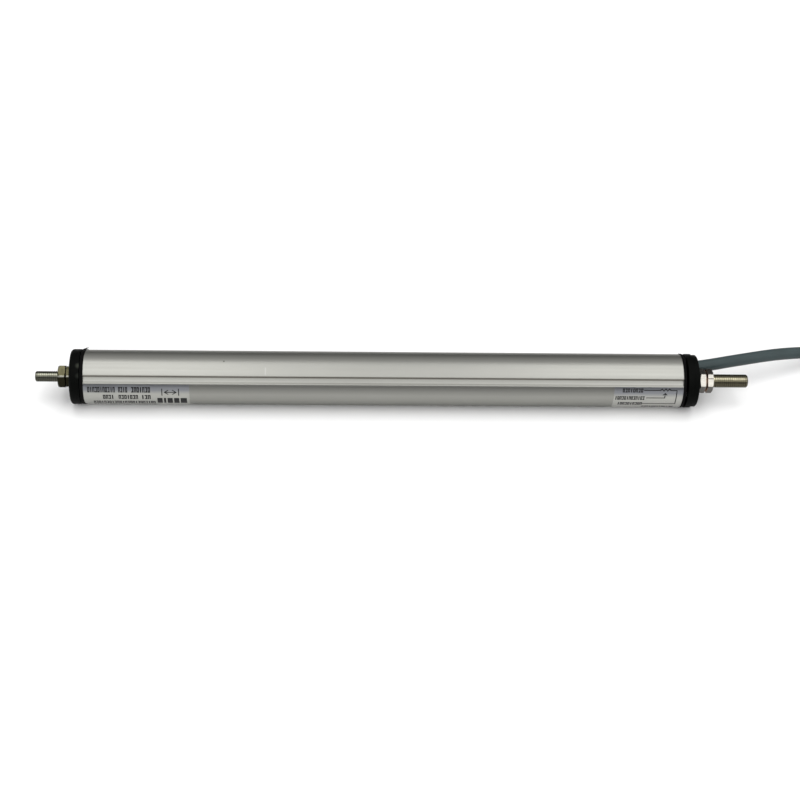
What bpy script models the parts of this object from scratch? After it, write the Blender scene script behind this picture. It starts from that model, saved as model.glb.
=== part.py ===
"""Shock travel sensor: a slide potentiometer in a round aluminium tube.

The rod runs along X. Its threaded end leaves the front cap towards -X, and the cable and the
fixed stud leave the rear cap towards +X. The sensor lies on z = 0 on the rims of its two ends.
"""

import math

import bmesh
import bpy
from mathutils import Matrix, Vector

MM = 0.001

# Lengths along the sensor, from the rod's tip to the stud's tip
ROD_PROJECTION = 13.3 * MM
FRONT_CAP_THICKNESS = 3.7 * MM
STROKE = 150.0 * MM
TUBE_BEYOND_STROKE = 72.1 * MM
REAR_CAP_THICKNESS = 4.2 * MM
STUD_PROJECTION = 20.1 * MM
GASKET_THICKNESS = 1.0 * MM
SEAM_GAP = 0.2 * MM

# The tube's section
TUBE_RADIUS = 10.0 * MM
TUBE_WALL = 1.7 * MM
PORT_OFFSET = 6.9 * MM
PORT_RADIUS = 1.9 * MM
PORT_HOLE_RADIUS = 1.05 * MM
PORT_MOUTH = 1.1 * MM
PORT_ANGLES = (-90.0, 30.0, 150.0)
GROOVE_ANGLE = 229.4
GROOVE_WIDTH = 2.8 * MM
GROOVE_FLOOR = 1.9 * MM
GROOVE_DEPTH = 0.55 * MM
GROOVE_FLOOR_RISE = 0.12 * MM
GROOVE_WALL_RUN = 0.12 * MM
RAIL_THICKNESS = 0.9 * MM
RAIL_OVERLAP = 1.0 * MM
SECTION_ROLL = -83.0

# The caps and gaskets
RIM_RADIUS = 10.2 * MM
FRONT_EDGE_ROUNDING = 1.2 * MM
FRONT_GASKET_RADIUS = 10.05 * MM
REAR_BAND_RADIUS = 10.12 * MM
REAR_BAND_WIDTH = 2.1 * MM
REAR_FACE_RADIUS = 9.75 * MM
REAR_CHAMFER = 0.25 * MM
REAR_GASKET_LIP = 0.4 * MM
REAR_GASKET_EDGE = 0.15 * MM
NOSE_RADIUS = 4.7 * MM
FRONT_NOSE_LENGTH = 11.4 * MM
REAR_NOSE_LENGTH = 6.9 * MM
BOSS_RADIUS = 3.6 * MM
BOSS_HEIGHT = 1.2 * MM
NIB_ANGLE = 133.0
NIB_HEIGHT = 0.5 * MM
NIB_WIDTH = 1.4 * MM

# The rod and what it carries
ROD_RADIUS = 2.0 * MM
ROD_TIP_CHAMFER = 0.6 * MM
ROD_STEP = 0.5 * MM
ROD_NUT_FLATS = 8.0 * MM
ROD_NUT_THICKNESS = 2.8 * MM
ROD_NUT_DOME = 0.9 * MM
JAM_NUT_FLATS = 7.5 * MM
JAM_NUT_THICKNESS = 1.5 * MM
CARRIAGE_LENGTH = 24.0 * MM
CARRIAGE_END_SPACE = 23.4 * MM
COLLAR_RADIUS = 2.9 * MM
COLLAR_LENGTH = 1.5 * MM
CARRIAGE_NUT_FLATS = 6.0 * MM
CARRIAGE_NUT_THICKNESS = 2.2 * MM
BUSHING_RADIUS = 3.3 * MM
BUSHING_LENGTH = 17.0 * MM
BUSHING_FLANGE_RADIUS = 3.9 * MM
BUSHING_FLANGE = 0.8 * MM
SEAL_RADIUS = 3.9 * MM
SEAL_THICKNESS = 1.4 * MM
SEAL_INSET = 0.3 * MM
SEAL_LIP_DEPTH = 0.5 * MM
SEAL_LIP_EDGE = 0.15 * MM

# The stud and its nuts
STUD_RADIUS = 2.5 * MM
STUD_TIP_CHAMFER = 0.7 * MM
STUD_DEPTH = 9.2 * MM
STUD_NUT_FLATS = 8.0 * MM
STUD_NUT_THICKNESS = 2.45 * MM
STUD_NUT_SPACE = 0.25 * MM
TIP_LEAD = 0.25 * MM
NUT_CHAMFER_SHARE = 0.45
NUT_FACE_STEP = 0.1 * MM

# The cap screws
SCREW_HEAD_RADIUS = 1.7 * MM
SCREW_HEAD_HEIGHT = 1.2 * MM
SCREW_SHANK_RADIUS = 0.85 * MM
SCREW_GRIP = 8.0 * MM
SCREW_HEAD_EDGE = 0.3 * MM
SCREW_POINT = 0.6 * MM
SCREW_POINT_RADIUS = 0.3 * MM
CROSS_WIDTH = 0.45 * MM
CROSS_SPAN = 1.9 * MM
CROSS_DEPTH = 0.7 * MM

# The board and its contacts
BOARD_THICKNESS = 1.0 * MM
BOARD_HEIGHT = -4.5 * MM
BOARD_EDGE_GAP = 0.22 * MM
BOARD_FRONT_SPACE = 18.7 * MM
BOARD_REAR_SPACE = 11.9 * MM
WIPER_WIDTH = 1.8 * MM
WIPER_SIDE_SPACE = 0.8 * MM
WIPER_SHEET = 0.15 * MM
WIPER_TAB = 4.0 * MM
WIPER_ARM = 7.0 * MM
FINGER_SLOT = 0.2 * MM
FINGER_ROOT = 0.8 * MM
TOE_LENGTH = 1.2 * MM
TOE_RISE = 0.45 * MM
CONTACT_GAP = 0.1 * MM
RIVET_RADIUS = 0.45 * MM
RIVET_HEAD_RADIUS = 0.8 * MM
RIVET_HEAD_HEIGHT = 0.4 * MM
RIVET_LENGTH = 1.6 * MM
POCKET_DEPTH = 2.0 * MM
POCKET_WALL = 0.8 * MM
POCKET_LENGTH = 16.0 * MM
TERMINAL_EDGE_SPACE = 2.2 * MM
TERMINAL_RADIUS = 0.4 * MM
TERMINAL_INSET = 3.0 * MM
TERMINAL_COLLAR = 0.9 * MM
TERMINAL_COLLAR_HEIGHT = 0.4 * MM
TERMINAL_POST_STEP = 0.1 * MM
TERMINAL_HEIGHT = 1.6 * MM
LEAD_RADIUS = 0.45 * MM
LEAD_SPREAD = 1.1 * MM
LEAD_TURN = -23.0
LEAD_RISE = 1.0 * MM
LEAD_STEP = 1.0 * MM
LEAD_ARCH = 0.8 * MM
LEAD_STRAIGHT = 1.6 * MM

# The cable: route points are distance past the rear cap's face, world y and height above the floor
CABLE_RADIUS = 2.3 * MM
CABLE_INNER_REACH = 13.0 * MM
CABLE_ROUTE = (
    (-CABLE_INNER_REACH, 5.61 * MM, 11.19 * MM),
    (-6.5 * MM, 5.64 * MM, 11.20 * MM),
    (-3.0 * MM, 5.93 * MM, 11.26 * MM),
    (0.0 * MM, 6.48 * MM, 11.32 * MM),
    (4.0 * MM, 7.48 * MM, 11.28 * MM),
    (8.5 * MM, 8.75 * MM, 11.10 * MM),
    (17.6 * MM, 11.80 * MM, 10.50 * MM),
    (32.0 * MM, 16.60 * MM, 9.30 * MM),
    (42.0 * MM, 19.80 * MM, 7.90 * MM),
    (52.0 * MM, 22.80 * MM, 5.90 * MM),
    (60.0 * MM, 24.90 * MM, 4.10 * MM),
    (67.0 * MM, 26.60 * MM, 2.75 * MM),
    (72.0 * MM, 27.60 * MM, 2.32 * MM),
    (77.7 * MM, 28.45 * MM, 2.32 * MM),
)
CABLE_STEP = 6.0 * MM
CABLE_WAY_POINTS = 6
CABLE_WAY_STEP = 2.0 * MM

# The hank of spare cable, its tie and the three bare cores at the cable's far end
HANK_START = 74.0 * MM
HANK_HALF_RUN = 40.0 * MM
HANK_FOLD_RADIUS = 18.8 * MM
HANK_WAIST_RADIUS = 7.4 * MM
HANK_CENTRE_Y = 10.8 * MM
HANK_HEIGHT = 10.4 * MM
HANK_ROUNDING = 2.0 * MM
TIE_WIDTH = 8.0 * MM
TIE_THICKNESS = 0.8 * MM
TIE_CORNER = 1.8 * MM
CABLE_END_PAST_TIE = 8.0 * MM
CORE_RADIUS = 0.65 * MM
CORE_LENGTH = 14.0 * MM
CORE_STEP = 2.5 * MM
CORE_PITCH = 1.0 * MM
CORE_SPREAD = 1.5 * MM

# Clearances between pieces that touch or fit
SEAT_GAP = 0.3 * MM
THREAD_GAP = 0.15 * MM
RUNNING_GAP = 0.08 * MM
CUT_EXTRA = 1.0 * MM
WELD = 0.001 * MM

# Places worked out from the sizes above
TUBE_LENGTH = STROKE + TUBE_BEYOND_STROKE
TOTAL_LENGTH = (
    ROD_PROJECTION + FRONT_CAP_THICKNESS + GASKET_THICKNESS + TUBE_LENGTH
    + GASKET_THICKNESS + REAR_CAP_THICKNESS + STUD_PROJECTION + 4 * SEAM_GAP
)
ROD_TIP_X = -TOTAL_LENGTH / 2
FRONT_FACE_X = ROD_TIP_X + ROD_PROJECTION
FRONT_SEAT_X = FRONT_FACE_X + FRONT_CAP_THICKNESS
FRONT_GASKET_X = FRONT_SEAT_X + SEAM_GAP
TUBE_FRONT_X = FRONT_GASKET_X + GASKET_THICKNESS + SEAM_GAP
TUBE_REAR_X = TUBE_FRONT_X + TUBE_LENGTH
REAR_GASKET_X = TUBE_REAR_X + SEAM_GAP
REAR_SEAT_X = REAR_GASKET_X + GASKET_THICKNESS + SEAM_GAP
REAR_FACE_X = REAR_SEAT_X + REAR_CAP_THICKNESS
STUD_TIP_X = REAR_FACE_X + STUD_PROJECTION
BORE_RADIUS = TUBE_RADIUS - TUBE_WALL
CARRIAGE_REAR_X = TUBE_REAR_X - CARRIAGE_END_SPACE
CARRIAGE_FRONT_X = CARRIAGE_REAR_X - CARRIAGE_LENGTH
BOARD_FRONT_X = TUBE_FRONT_X + BOARD_FRONT_SPACE
BOARD_REAR_X = TUBE_REAR_X - BOARD_REAR_SPACE
BOARD_TOP = BOARD_HEIGHT + BOARD_THICKNESS / 2
BOARD_UNDERSIDE = BOARD_HEIGHT - BOARD_THICKNESS / 2
BOARD_WIDTH = 2 * (math.sqrt(BORE_RADIUS ** 2 - BOARD_UNDERSIDE ** 2) - BOARD_EDGE_GAP)
RAIL_REACH = BOARD_WIDTH / 2 - RAIL_OVERLAP
POCKET_WIDTH = 2 * (RAIL_REACH - SEAT_GAP - POCKET_WALL)
TRACK_SPREAD = POCKET_WIDTH / 2 - WIPER_SIDE_SPACE - WIPER_WIDTH / 2
TERMINAL_SPREAD = BOARD_WIDTH / 2 - TERMINAL_EDGE_SPACE
INNER_ROD_RADIUS = ROD_RADIUS - ROD_STEP
CARRIAGE_SOLE = BOARD_TOP + 2 * SEAT_GAP
POCKET_CEILING = CARRIAGE_SOLE + POCKET_DEPTH
CARRIAGE_MIDDLE_X = (CARRIAGE_FRONT_X + CARRIAGE_REAR_X) / 2
HANK_CENTRE_X = REAR_FACE_X + HANK_START + HANK_FOLD_RADIUS + HANK_HALF_RUN
CABLE_END = TIE_WIDTH / 2 + CABLE_END_PAST_TIE
CORE_END = CABLE_END + CORE_LENGTH
UPPER_LAYER = 3 * CABLE_RADIUS

# The nuts' turn on their threads: this angle round X faces a viewer in front and above
VIEWER_ANGLE = 140.0

TUBE_STEPS = 90
ROUND_STEPS = 48
SMALL_ROUND_STEPS = 32
INNER_ROUND_STEPS = 24
SHARP_ANGLE = math.radians(32)


def clear_scene():
    for old in list(bpy.data.objects):
        bpy.data.objects.remove(old, do_unlink=True)


def make_material(name, colour, metallic, roughness):
    material = bpy.data.materials.new(name)
    material.use_nodes = True
    shader = material.node_tree.nodes["Principled BSDF"]
    shader.inputs["Base Color"].default_value = (*colour, 1.0)
    shader.inputs["Metallic"].default_value = metallic
    shader.inputs["Roughness"].default_value = roughness
    return material


def make_materials():
    looks = {
        "anodised_aluminium": ((0.62, 0.62, 0.58), 1.0, 0.34),
        "black_cap": ((0.012, 0.012, 0.013), 0.0, 0.45),
        "black_rubber": ((0.010, 0.010, 0.010), 0.0, 0.7),
        "nickel_steel": ((0.55, 0.53, 0.46), 1.0, 0.28),
        "rod_steel": ((0.60, 0.60, 0.58), 1.0, 0.22),
        "bearing_polymer": ((0.33, 0.29, 0.22), 0.0, 0.5),
        "carriage_polymer": ((0.75, 0.73, 0.68), 0.0, 0.5),
        "contact_alloy": ((0.75, 0.62, 0.38), 1.0, 0.25),
        "board_laminate": ((0.06, 0.20, 0.11), 0.0, 0.5),
        "solder": ((0.62, 0.62, 0.64), 1.0, 0.35),
        "cable_grey": ((0.14, 0.17, 0.20), 0.0, 0.45),
        "wire_brown": ((0.20, 0.08, 0.03), 0.0, 0.5),
        "wire_yellow": ((0.75, 0.55, 0.05), 0.0, 0.5),
        "wire_blue": ((0.04, 0.12, 0.45), 0.0, 0.5),
    }
    return {name: make_material(name, *look) for name, look in looks.items()}


def make_frame(name, parent=None, location=(0, 0, 0), roll=0.0):
    frame = bpy.data.objects.new(name, None)
    bpy.context.scene.collection.objects.link(frame)
    frame.parent = parent
    frame.location = location
    frame.rotation_euler = (math.radians(roll), 0, 0)
    return frame


def add_object(name, data, parent, material=None):
    piece = bpy.data.objects.new(name, data)
    bpy.context.scene.collection.objects.link(piece)
    piece.parent = parent
    if material:
        data.materials.append(material)
    else:
        piece.hide_render = True
        piece.display_type = "WIRE"
    return piece


def finish_mesh(name, shape, parent, material=None):
    """Closes the mesh with outward faces, shaded smooth apart from its real edges."""
    bmesh.ops.remove_doubles(shape, verts=shape.verts, dist=WELD)
    bmesh.ops.recalc_face_normals(shape, faces=shape.faces)
    data = bpy.data.meshes.new(name)
    shape.to_mesh(data)
    shape.free()
    data.shade_smooth()
    data.set_sharp_from_angle(angle=SHARP_ANGLE)
    return add_object(name, data, parent, material)


def arc(centre, radius, start, stop, steps):
    """Points on an arc, angles in degrees counter-clockwise from the section's first axis."""
    angles = [math.radians(start + (stop - start) * i / steps) for i in range(steps + 1)]
    return [(centre[0] + radius * math.cos(a), centre[1] + radius * math.sin(a)) for a in angles]


def circle(radius, steps=SMALL_ROUND_STEPS, centre=(0.0, 0.0)):
    return arc(centre, radius, 0.0, 360.0, steps)[:-1]


def polar(radius, angle):
    return radius * math.cos(math.radians(angle)), radius * math.sin(math.radians(angle))


def extrude_section(name, outline, holes, x_start, x_end, parent, material=None):
    """A straight bar along X with the section's outline, open through each hole."""
    shape = bmesh.new()
    for loop in (outline, *holes):
        corners = [shape.verts.new((x_start, *point)) for point in loop]
        for one, other in zip(corners, corners[1:] + corners[:1]):
            shape.edges.new((one, other))
    bmesh.ops.triangle_fill(shape, use_beauty=True, edges=shape.edges[:])
    pulled = bmesh.ops.extrude_face_region(shape, geom=shape.faces[:])
    moved = [item for item in pulled["geom"] if isinstance(item, bmesh.types.BMVert)]
    bmesh.ops.translate(shape, verts=moved, vec=(x_end - x_start, 0, 0))
    return finish_mesh(name, shape, parent, material)


def turn(name, profile, parent, material=None, steps=ROUND_STEPS, centre=(0.0, 0.0)):
    """A turned piece: the closed profile of (x, radius) points spun round X."""
    shape = bmesh.new()
    corners = [shape.verts.new((x, radius, 0)) for x, radius in profile]
    edges = [shape.edges.new(pair) for pair in zip(corners, corners[1:] + corners[:1])]
    bmesh.ops.spin(
        shape, geom=corners + edges, cent=(0, 0, 0), axis=(1, 0, 0),
        angle=2 * math.pi, steps=steps, use_merge=True,
    )
    bmesh.ops.remove_doubles(shape, verts=shape.verts, dist=WELD)
    bmesh.ops.dissolve_degenerate(shape, edges=shape.edges, dist=WELD)
    bmesh.ops.delete(shape, geom=[e for e in shape.edges if edge_on_axis(e)], context="EDGES")
    bmesh.ops.translate(shape, verts=shape.verts, vec=(0, *centre))
    return finish_mesh(name, shape, parent, material)


def edge_on_axis(edge):
    return all(math.hypot(v.co.y, v.co.z) < WELD for v in edge.verts)


def cut(piece, cutter, operation="DIFFERENCE"):
    tool = piece.modifiers.new(cutter.name, "BOOLEAN")
    tool.operation = operation
    tool.solver = "EXACT"
    tool.object = cutter


def box(name, low, high, parent, material=None):
    corners = [(low[1], low[2]), (high[1], low[2]), (high[1], high[2]), (low[1], high[2])]
    return extrude_section(name, corners, [], low[0], high[0], parent, material)


def wall_reach(height, radius):
    return math.sqrt(radius ** 2 - height ** 2)


def groove_points():
    """The clamp groove, from its far lip across the floor to its near lip."""
    lip = wall_reach(GROOVE_WIDTH / 2, TUBE_RADIUS)
    half = GROOVE_WIDTH / 2
    floor_start = half - GROOVE_WALL_RUN
    path = (
        (half, lip),
        (floor_start, lip - GROOVE_DEPTH),
        (floor_start - GROOVE_FLOOR, lip - GROOVE_DEPTH + GROOVE_FLOOR_RISE),
        (-half, lip),
    )
    turned = math.radians(GROOVE_ANGLE - 90)
    return [
        (x * math.cos(turned) - y * math.sin(turned), x * math.sin(turned) + y * math.cos(turned))
        for x, y in path
    ]


def tube_outline():
    half_angle = math.degrees(math.asin(GROOVE_WIDTH / 2 / TUBE_RADIUS))
    start = GROOVE_ANGLE + half_angle
    rest = arc((0, 0), TUBE_RADIUS, start, start + 360 - 2 * half_angle, TUBE_STEPS)
    return groove_points() + rest[1:-1]


def port_points(angle):
    """One screw port: an open C of wall that stands in the bore."""
    centre = polar(PORT_OFFSET, angle)
    reach = math.degrees(math.acos(
        (PORT_OFFSET ** 2 + PORT_RADIUS ** 2 - BORE_RADIUS ** 2) / (2 * PORT_OFFSET * PORT_RADIUS)
    ))
    outer_mouth = math.degrees(math.asin(PORT_MOUTH / 2 / PORT_RADIUS))
    inner_mouth = math.degrees(math.asin(PORT_MOUTH / 2 / PORT_HOLE_RADIUS))
    inward = angle + 180
    first = arc(centre, PORT_RADIUS, inward + reach, inward + outer_mouth, 6)
    hole = arc(centre, PORT_HOLE_RADIUS, inward + inner_mouth, inward - inner_mouth + 360, 14)
    last = arc(centre, PORT_RADIUS, inward - outer_mouth, inward - reach, 6)
    return first + hole + last


def port_half_angle():
    """How far each side of its middle a port covers the bore, seen from the axis."""
    return math.degrees(math.acos(
        (PORT_OFFSET ** 2 + BORE_RADIUS ** 2 - PORT_RADIUS ** 2) / (2 * PORT_OFFSET * BORE_RADIUS)
    ))


def rail_points(side):
    """The two rails that hold one edge of the board, from the lower rail's root upwards."""
    slot_low = BOARD_UNDERSIDE - THREAD_GAP
    slot_high = BOARD_TOP + THREAD_GAP
    low_root = slot_low - RAIL_THICKNESS
    high_root = slot_high + RAIL_THICKNESS
    low_reach = RAIL_REACH - RAIL_THICKNESS
    points = [
        (wall_reach(low_root, BORE_RADIUS), low_root), (low_reach, low_root),
        (low_reach, slot_low), (wall_reach(slot_low, BORE_RADIUS), slot_low),
        (wall_reach(slot_high, BORE_RADIUS), slot_high), (RAIL_REACH, slot_high),
        (RAIL_REACH, high_root), (wall_reach(high_root, BORE_RADIUS), high_root),
    ]
    return points if side > 0 else [(-x, y) for x, y in reversed(points)]


def bore_outline():
    """The tube's inside, counter-clockwise from the lower port."""
    half = port_half_angle()
    right_rail = rail_points(1)
    left_rail = rail_points(-1)

    def angle_of(point):
        return math.degrees(math.atan2(point[1], point[0]))

    def wall(start, stop):
        steps = max(1, round((stop - start) / 6))
        return arc((0, 0), BORE_RADIUS, start, stop, steps)[1:-1]

    low, right, left = PORT_ANGLES
    points = port_points(low)
    points += wall(low + half, angle_of(right_rail[0])) + right_rail
    points += wall(angle_of(right_rail[-1]), right - half) + port_points(right)
    points += wall(right + half, left - half) + port_points(left)
    points += wall(left + half, angle_of(left_rail[0]) + 360) + left_rail
    points += wall(angle_of(left_rail[-1]) + 360, low - half + 360)
    return points


def make_tube(section, looks):
    extrude_section(
        "tube_body", tube_outline(), [bore_outline()], TUBE_FRONT_X, TUBE_REAR_X,
        section, looks["anodised_aluminium"],
    )


def screw_holes(radius):
    return [circle(radius, 16, polar(PORT_OFFSET, angle)) for angle in PORT_ANGLES]


def nib_outline():
    """The front gasket's edge, with the nib of rubber that stands proud of the tube."""
    points = []
    for x, y in circle(FRONT_GASKET_RADIUS, 96):
        angle = math.degrees(math.atan2(y, x))
        offset = math.radians(angle - NIB_ANGLE) * FRONT_GASKET_RADIUS
        rise = NIB_HEIGHT * math.exp(-((2 * offset / NIB_WIDTH) ** 4))
        points.append(polar(FRONT_GASKET_RADIUS + rise, angle))
    return points


def make_front_gasket(section, looks):
    holes = screw_holes(SCREW_SHANK_RADIUS + SEAT_GAP) + [circle(NOSE_RADIUS + SEAT_GAP)]
    extrude_section(
        "front_gasket", nib_outline(), holes, FRONT_GASKET_X, FRONT_GASKET_X + GASKET_THICKNESS,
        section, looks["black_rubber"],
    )


def make_rear_gasket(section, looks, cable_cutter):
    """Squeezed out a little where it meets the tube."""
    inner = NOSE_RADIUS + SEAT_GAP
    back = REAR_GASKET_X + GASKET_THICKNESS
    profile = [
        (REAR_GASKET_X, inner), (REAR_GASKET_X, RIM_RADIUS - REAR_GASKET_EDGE),
        (REAR_GASKET_X + REAR_GASKET_EDGE, RIM_RADIUS),
        (REAR_GASKET_X + REAR_GASKET_LIP, RIM_RADIUS),
        (back, REAR_BAND_RADIUS), (back, inner),
    ]
    gasket = turn("rear_gasket", profile, section, looks["black_rubber"])
    cut(gasket, cable_cutter)
    for number, angle in enumerate(PORT_ANGLES, 1):
        centre = polar(PORT_OFFSET, angle)
        drill = extrude_section(
            f"rear_gasket_drill_{number}", circle(SCREW_SHANK_RADIUS + SEAT_GAP, 16, centre), [],
            REAR_GASKET_X - CUT_EXTRA, back + CUT_EXTRA, section,
        )
        cut(gasket, drill)


def screw_drill(name, angle, face_x, seat_x, section):
    """The stepped hole of one cap screw, turned about the screw's own axis."""
    outwards = math.copysign(1.0, face_x - seat_x)
    floor_x = face_x - outwards * (SCREW_HEAD_HEIGHT + SEAT_GAP)
    head = SCREW_HEAD_RADIUS + SEAT_GAP
    shank = SCREW_SHANK_RADIUS + SEAT_GAP
    profile = [
        (face_x + outwards * CUT_EXTRA, 0.0), (face_x + outwards * CUT_EXTRA, head),
        (floor_x, head), (floor_x, shank), (seat_x - outwards * CUT_EXTRA, shank),
        (seat_x - outwards * CUT_EXTRA, 0.0),
    ]
    return turn(name, profile, section, steps=24, centre=polar(PORT_OFFSET, angle))


def make_front_cap(section, looks):
    """Rounded outer edge, a nose into the tube, and seats for the wiper ring and the bearing."""
    rounding = arc(
        (FRONT_FACE_X + FRONT_EDGE_ROUNDING, RIM_RADIUS - FRONT_EDGE_ROUNDING),
        FRONT_EDGE_ROUNDING, 180.0, 90.0, 5,
    )
    bore = BUSHING_RADIUS + THREAD_GAP
    seal_floor = FRONT_FACE_X + SEAL_INSET + SEAL_THICKNESS + SEAT_GAP
    seal_seat = SEAL_RADIUS + THREAD_GAP
    neck = ROD_RADIUS + SEAT_GAP
    neck_end = FRONT_SEAT_X
    nose_end = FRONT_SEAT_X + FRONT_NOSE_LENGTH
    profile = [(FRONT_FACE_X, seal_seat)] + rounding + [
        (FRONT_SEAT_X, RIM_RADIUS), (FRONT_SEAT_X, NOSE_RADIUS), (nose_end, NOSE_RADIUS),
        (nose_end, bore), (neck_end, bore), (neck_end, neck), (seal_floor, neck),
        (seal_floor, seal_seat),
    ]
    cap = turn("front_cap", profile, section, looks["black_cap"])
    for number, angle in enumerate(PORT_ANGLES, 1):
        cut(cap, screw_drill(f"front_drill_{number}", angle, FRONT_FACE_X, FRONT_SEAT_X, section))


def make_rear_cap(section, looks, cable_cutter):
    """A wide band, a step down to the face, a boss round the stud and a blind nose."""
    band_end = REAR_SEAT_X + REAR_BAND_WIDTH
    hole = STUD_RADIUS + THREAD_GAP
    nose_end = REAR_SEAT_X - REAR_NOSE_LENGTH
    bore_end = REAR_FACE_X - STUD_DEPTH - SEAT_GAP
    boss_end = REAR_FACE_X + BOSS_HEIGHT
    profile = [
        (nose_end, 0.0), (nose_end, NOSE_RADIUS), (REAR_SEAT_X, NOSE_RADIUS),
        (REAR_SEAT_X, REAR_BAND_RADIUS), (band_end, REAR_BAND_RADIUS),
        (band_end, REAR_FACE_RADIUS), (REAR_FACE_X - REAR_CHAMFER, REAR_FACE_RADIUS),
        (REAR_FACE_X, REAR_FACE_RADIUS - REAR_CHAMFER), (REAR_FACE_X, BOSS_RADIUS),
        (boss_end, BOSS_RADIUS), (boss_end, hole), (bore_end, hole), (bore_end, 0.0),
    ]
    cap = turn("rear_cap", profile, section, looks["black_cap"])
    cut(cap, cable_cutter)
    for number, angle in enumerate(PORT_ANGLES, 1):
        cut(cap, screw_drill(f"rear_drill_{number}", angle, REAR_FACE_X, REAR_SEAT_X, section))


def make_screw(name, angle, face_x, inwards, grip, section, looks):
    """A pan head with a cross recess, flush in the cap's face, and its shank in the port."""
    centre = polar(PORT_OFFSET, angle)
    top = face_x + inwards * THREAD_GAP
    under = top + inwards * SCREW_HEAD_HEIGHT
    tip = face_x + inwards * grip
    profile = [
        (top, 0.0), (top, SCREW_HEAD_RADIUS - SCREW_HEAD_EDGE),
        (top + inwards * SCREW_HEAD_EDGE, SCREW_HEAD_RADIUS), (under, SCREW_HEAD_RADIUS),
        (under, SCREW_SHANK_RADIUS), (tip - inwards * SCREW_POINT, SCREW_SHANK_RADIUS),
        (tip, SCREW_POINT_RADIUS), (tip, 0.0),
    ]
    screw = turn(name, profile, section, looks["nickel_steel"], steps=16, centre=centre)
    for suffix, across, along in (("a", CROSS_WIDTH, CROSS_SPAN), ("b", CROSS_SPAN, CROSS_WIDTH)):
        ends = sorted((top - inwards * CUT_EXTRA, top + inwards * CROSS_DEPTH))
        slot = box(
            f"{name}_slot_{suffix}",
            (ends[0], centre[0] - across / 2, centre[1] - along / 2),
            (ends[1], centre[0] + across / 2, centre[1] + along / 2), section,
        )
        cut(screw, slot)


def make_screws(section, looks):
    front_grip = FRONT_CAP_THICKNESS + GASKET_THICKNESS + SCREW_GRIP
    rear_grip = REAR_CAP_THICKNESS + GASKET_THICKNESS + SCREW_GRIP
    for number, angle in enumerate(PORT_ANGLES, 1):
        make_screw(f"front_screw_{number}", angle, FRONT_FACE_X, 1.0, front_grip, section, looks)
        make_screw(f"rear_screw_{number}", angle, REAR_FACE_X, -1.0, rear_grip, section, looks)


def make_bearing_and_seal(axis, looks):
    """The bearing fills the nose and stands out of it; the wiper ring sits in the cap's face."""
    start = FRONT_SEAT_X + SEAT_GAP
    nose_end = FRONT_SEAT_X + FRONT_NOSE_LENGTH
    flange_x = nose_end + SEAT_GAP
    inner = ROD_RADIUS + RUNNING_GAP
    end = start + BUSHING_LENGTH
    bearing = [
        (start, inner), (start, BUSHING_RADIUS), (flange_x, BUSHING_RADIUS),
        (flange_x, BUSHING_FLANGE_RADIUS), (flange_x + BUSHING_FLANGE, BUSHING_FLANGE_RADIUS),
        (flange_x + BUSHING_FLANGE, BUSHING_RADIUS), (end, BUSHING_RADIUS), (end, inner),
    ]
    turn("rod_bushing", bearing, axis, looks["bearing_polymer"], steps=INNER_ROUND_STEPS)
    face = FRONT_FACE_X + SEAL_INSET
    back = face + SEAL_THICKNESS
    lip = ROD_RADIUS + THREAD_GAP
    valley = face + SEAL_LIP_DEPTH
    ring = [
        (face, lip), (face + SEAL_LIP_EDGE, lip + SEAL_LIP_DEPTH),
        (valley, lip + SEAL_LIP_DEPTH + SEAL_LIP_EDGE), (face, lip + 2 * SEAL_LIP_DEPTH),
        (face, SEAL_RADIUS), (back, SEAL_RADIUS), (back, lip + SEAT_GAP), (valley, lip),
    ]
    turn("rod_seal", ring, axis, looks["black_rubber"], steps=INNER_ROUND_STEPS)


def hex_outline(flats, turned):
    corner = flats / math.sqrt(3)
    return [polar(corner, 60 * i + turned) for i in range(6)]


def make_nut(name, flats, thickness, x_start, bore, turned, parent, material, domed=0.0):
    """A hexagon nut: chamfered corners on both faces, more on a domed outer face."""
    corner = flats / math.sqrt(3)
    reach = corner - flats / 2
    x_end = x_start + thickness
    back = NUT_CHAMFER_SHARE * reach
    front = max(domed, back)
    blank_radius = corner + SEAT_GAP
    nut = extrude_section(
        name, hex_outline(flats, turned), [circle(bore, 24)], x_start, x_end, parent, material,
    )
    face = flats / 2 - NUT_FACE_STEP
    blank = turn(
        f"{name}_chamfer",
        [
            (x_start - CUT_EXTRA, 0.0), (x_start - CUT_EXTRA, face), (x_start, face),
            (x_start + front, corner), (x_start + front, blank_radius),
            (x_end - back, blank_radius), (x_end - back, corner), (x_end, face),
            (x_end + CUT_EXTRA, face), (x_end + CUT_EXTRA, 0.0),
        ],
        parent, steps=36,
    )
    cut(nut, blank, "INTERSECT")


def make_rod(slide, looks):
    """The rod, with a collar in front of the carriage and a thinner threaded inner end."""
    collar_x = CARRIAGE_FRONT_X - SEAT_GAP - COLLAR_LENGTH
    inner_end = CARRIAGE_REAR_X + SEAT_GAP + CARRIAGE_NUT_THICKNESS + SEAT_GAP
    profile = [
        (ROD_TIP_X, 0.0), (ROD_TIP_X, ROD_RADIUS - ROD_TIP_CHAMFER),
        (ROD_TIP_X + TIP_LEAD, ROD_RADIUS - ROD_TIP_CHAMFER / 2),
        (ROD_TIP_X + ROD_TIP_CHAMFER, ROD_RADIUS), (collar_x, ROD_RADIUS),
        (collar_x, COLLAR_RADIUS), (collar_x + COLLAR_LENGTH, COLLAR_RADIUS),
        (collar_x + COLLAR_LENGTH, INNER_ROD_RADIUS), (inner_end, INNER_ROD_RADIUS),
        (inner_end, 0.0),
    ]
    turn("rod", profile, slide, looks["rod_steel"], steps=SMALL_ROUND_STEPS)


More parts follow.
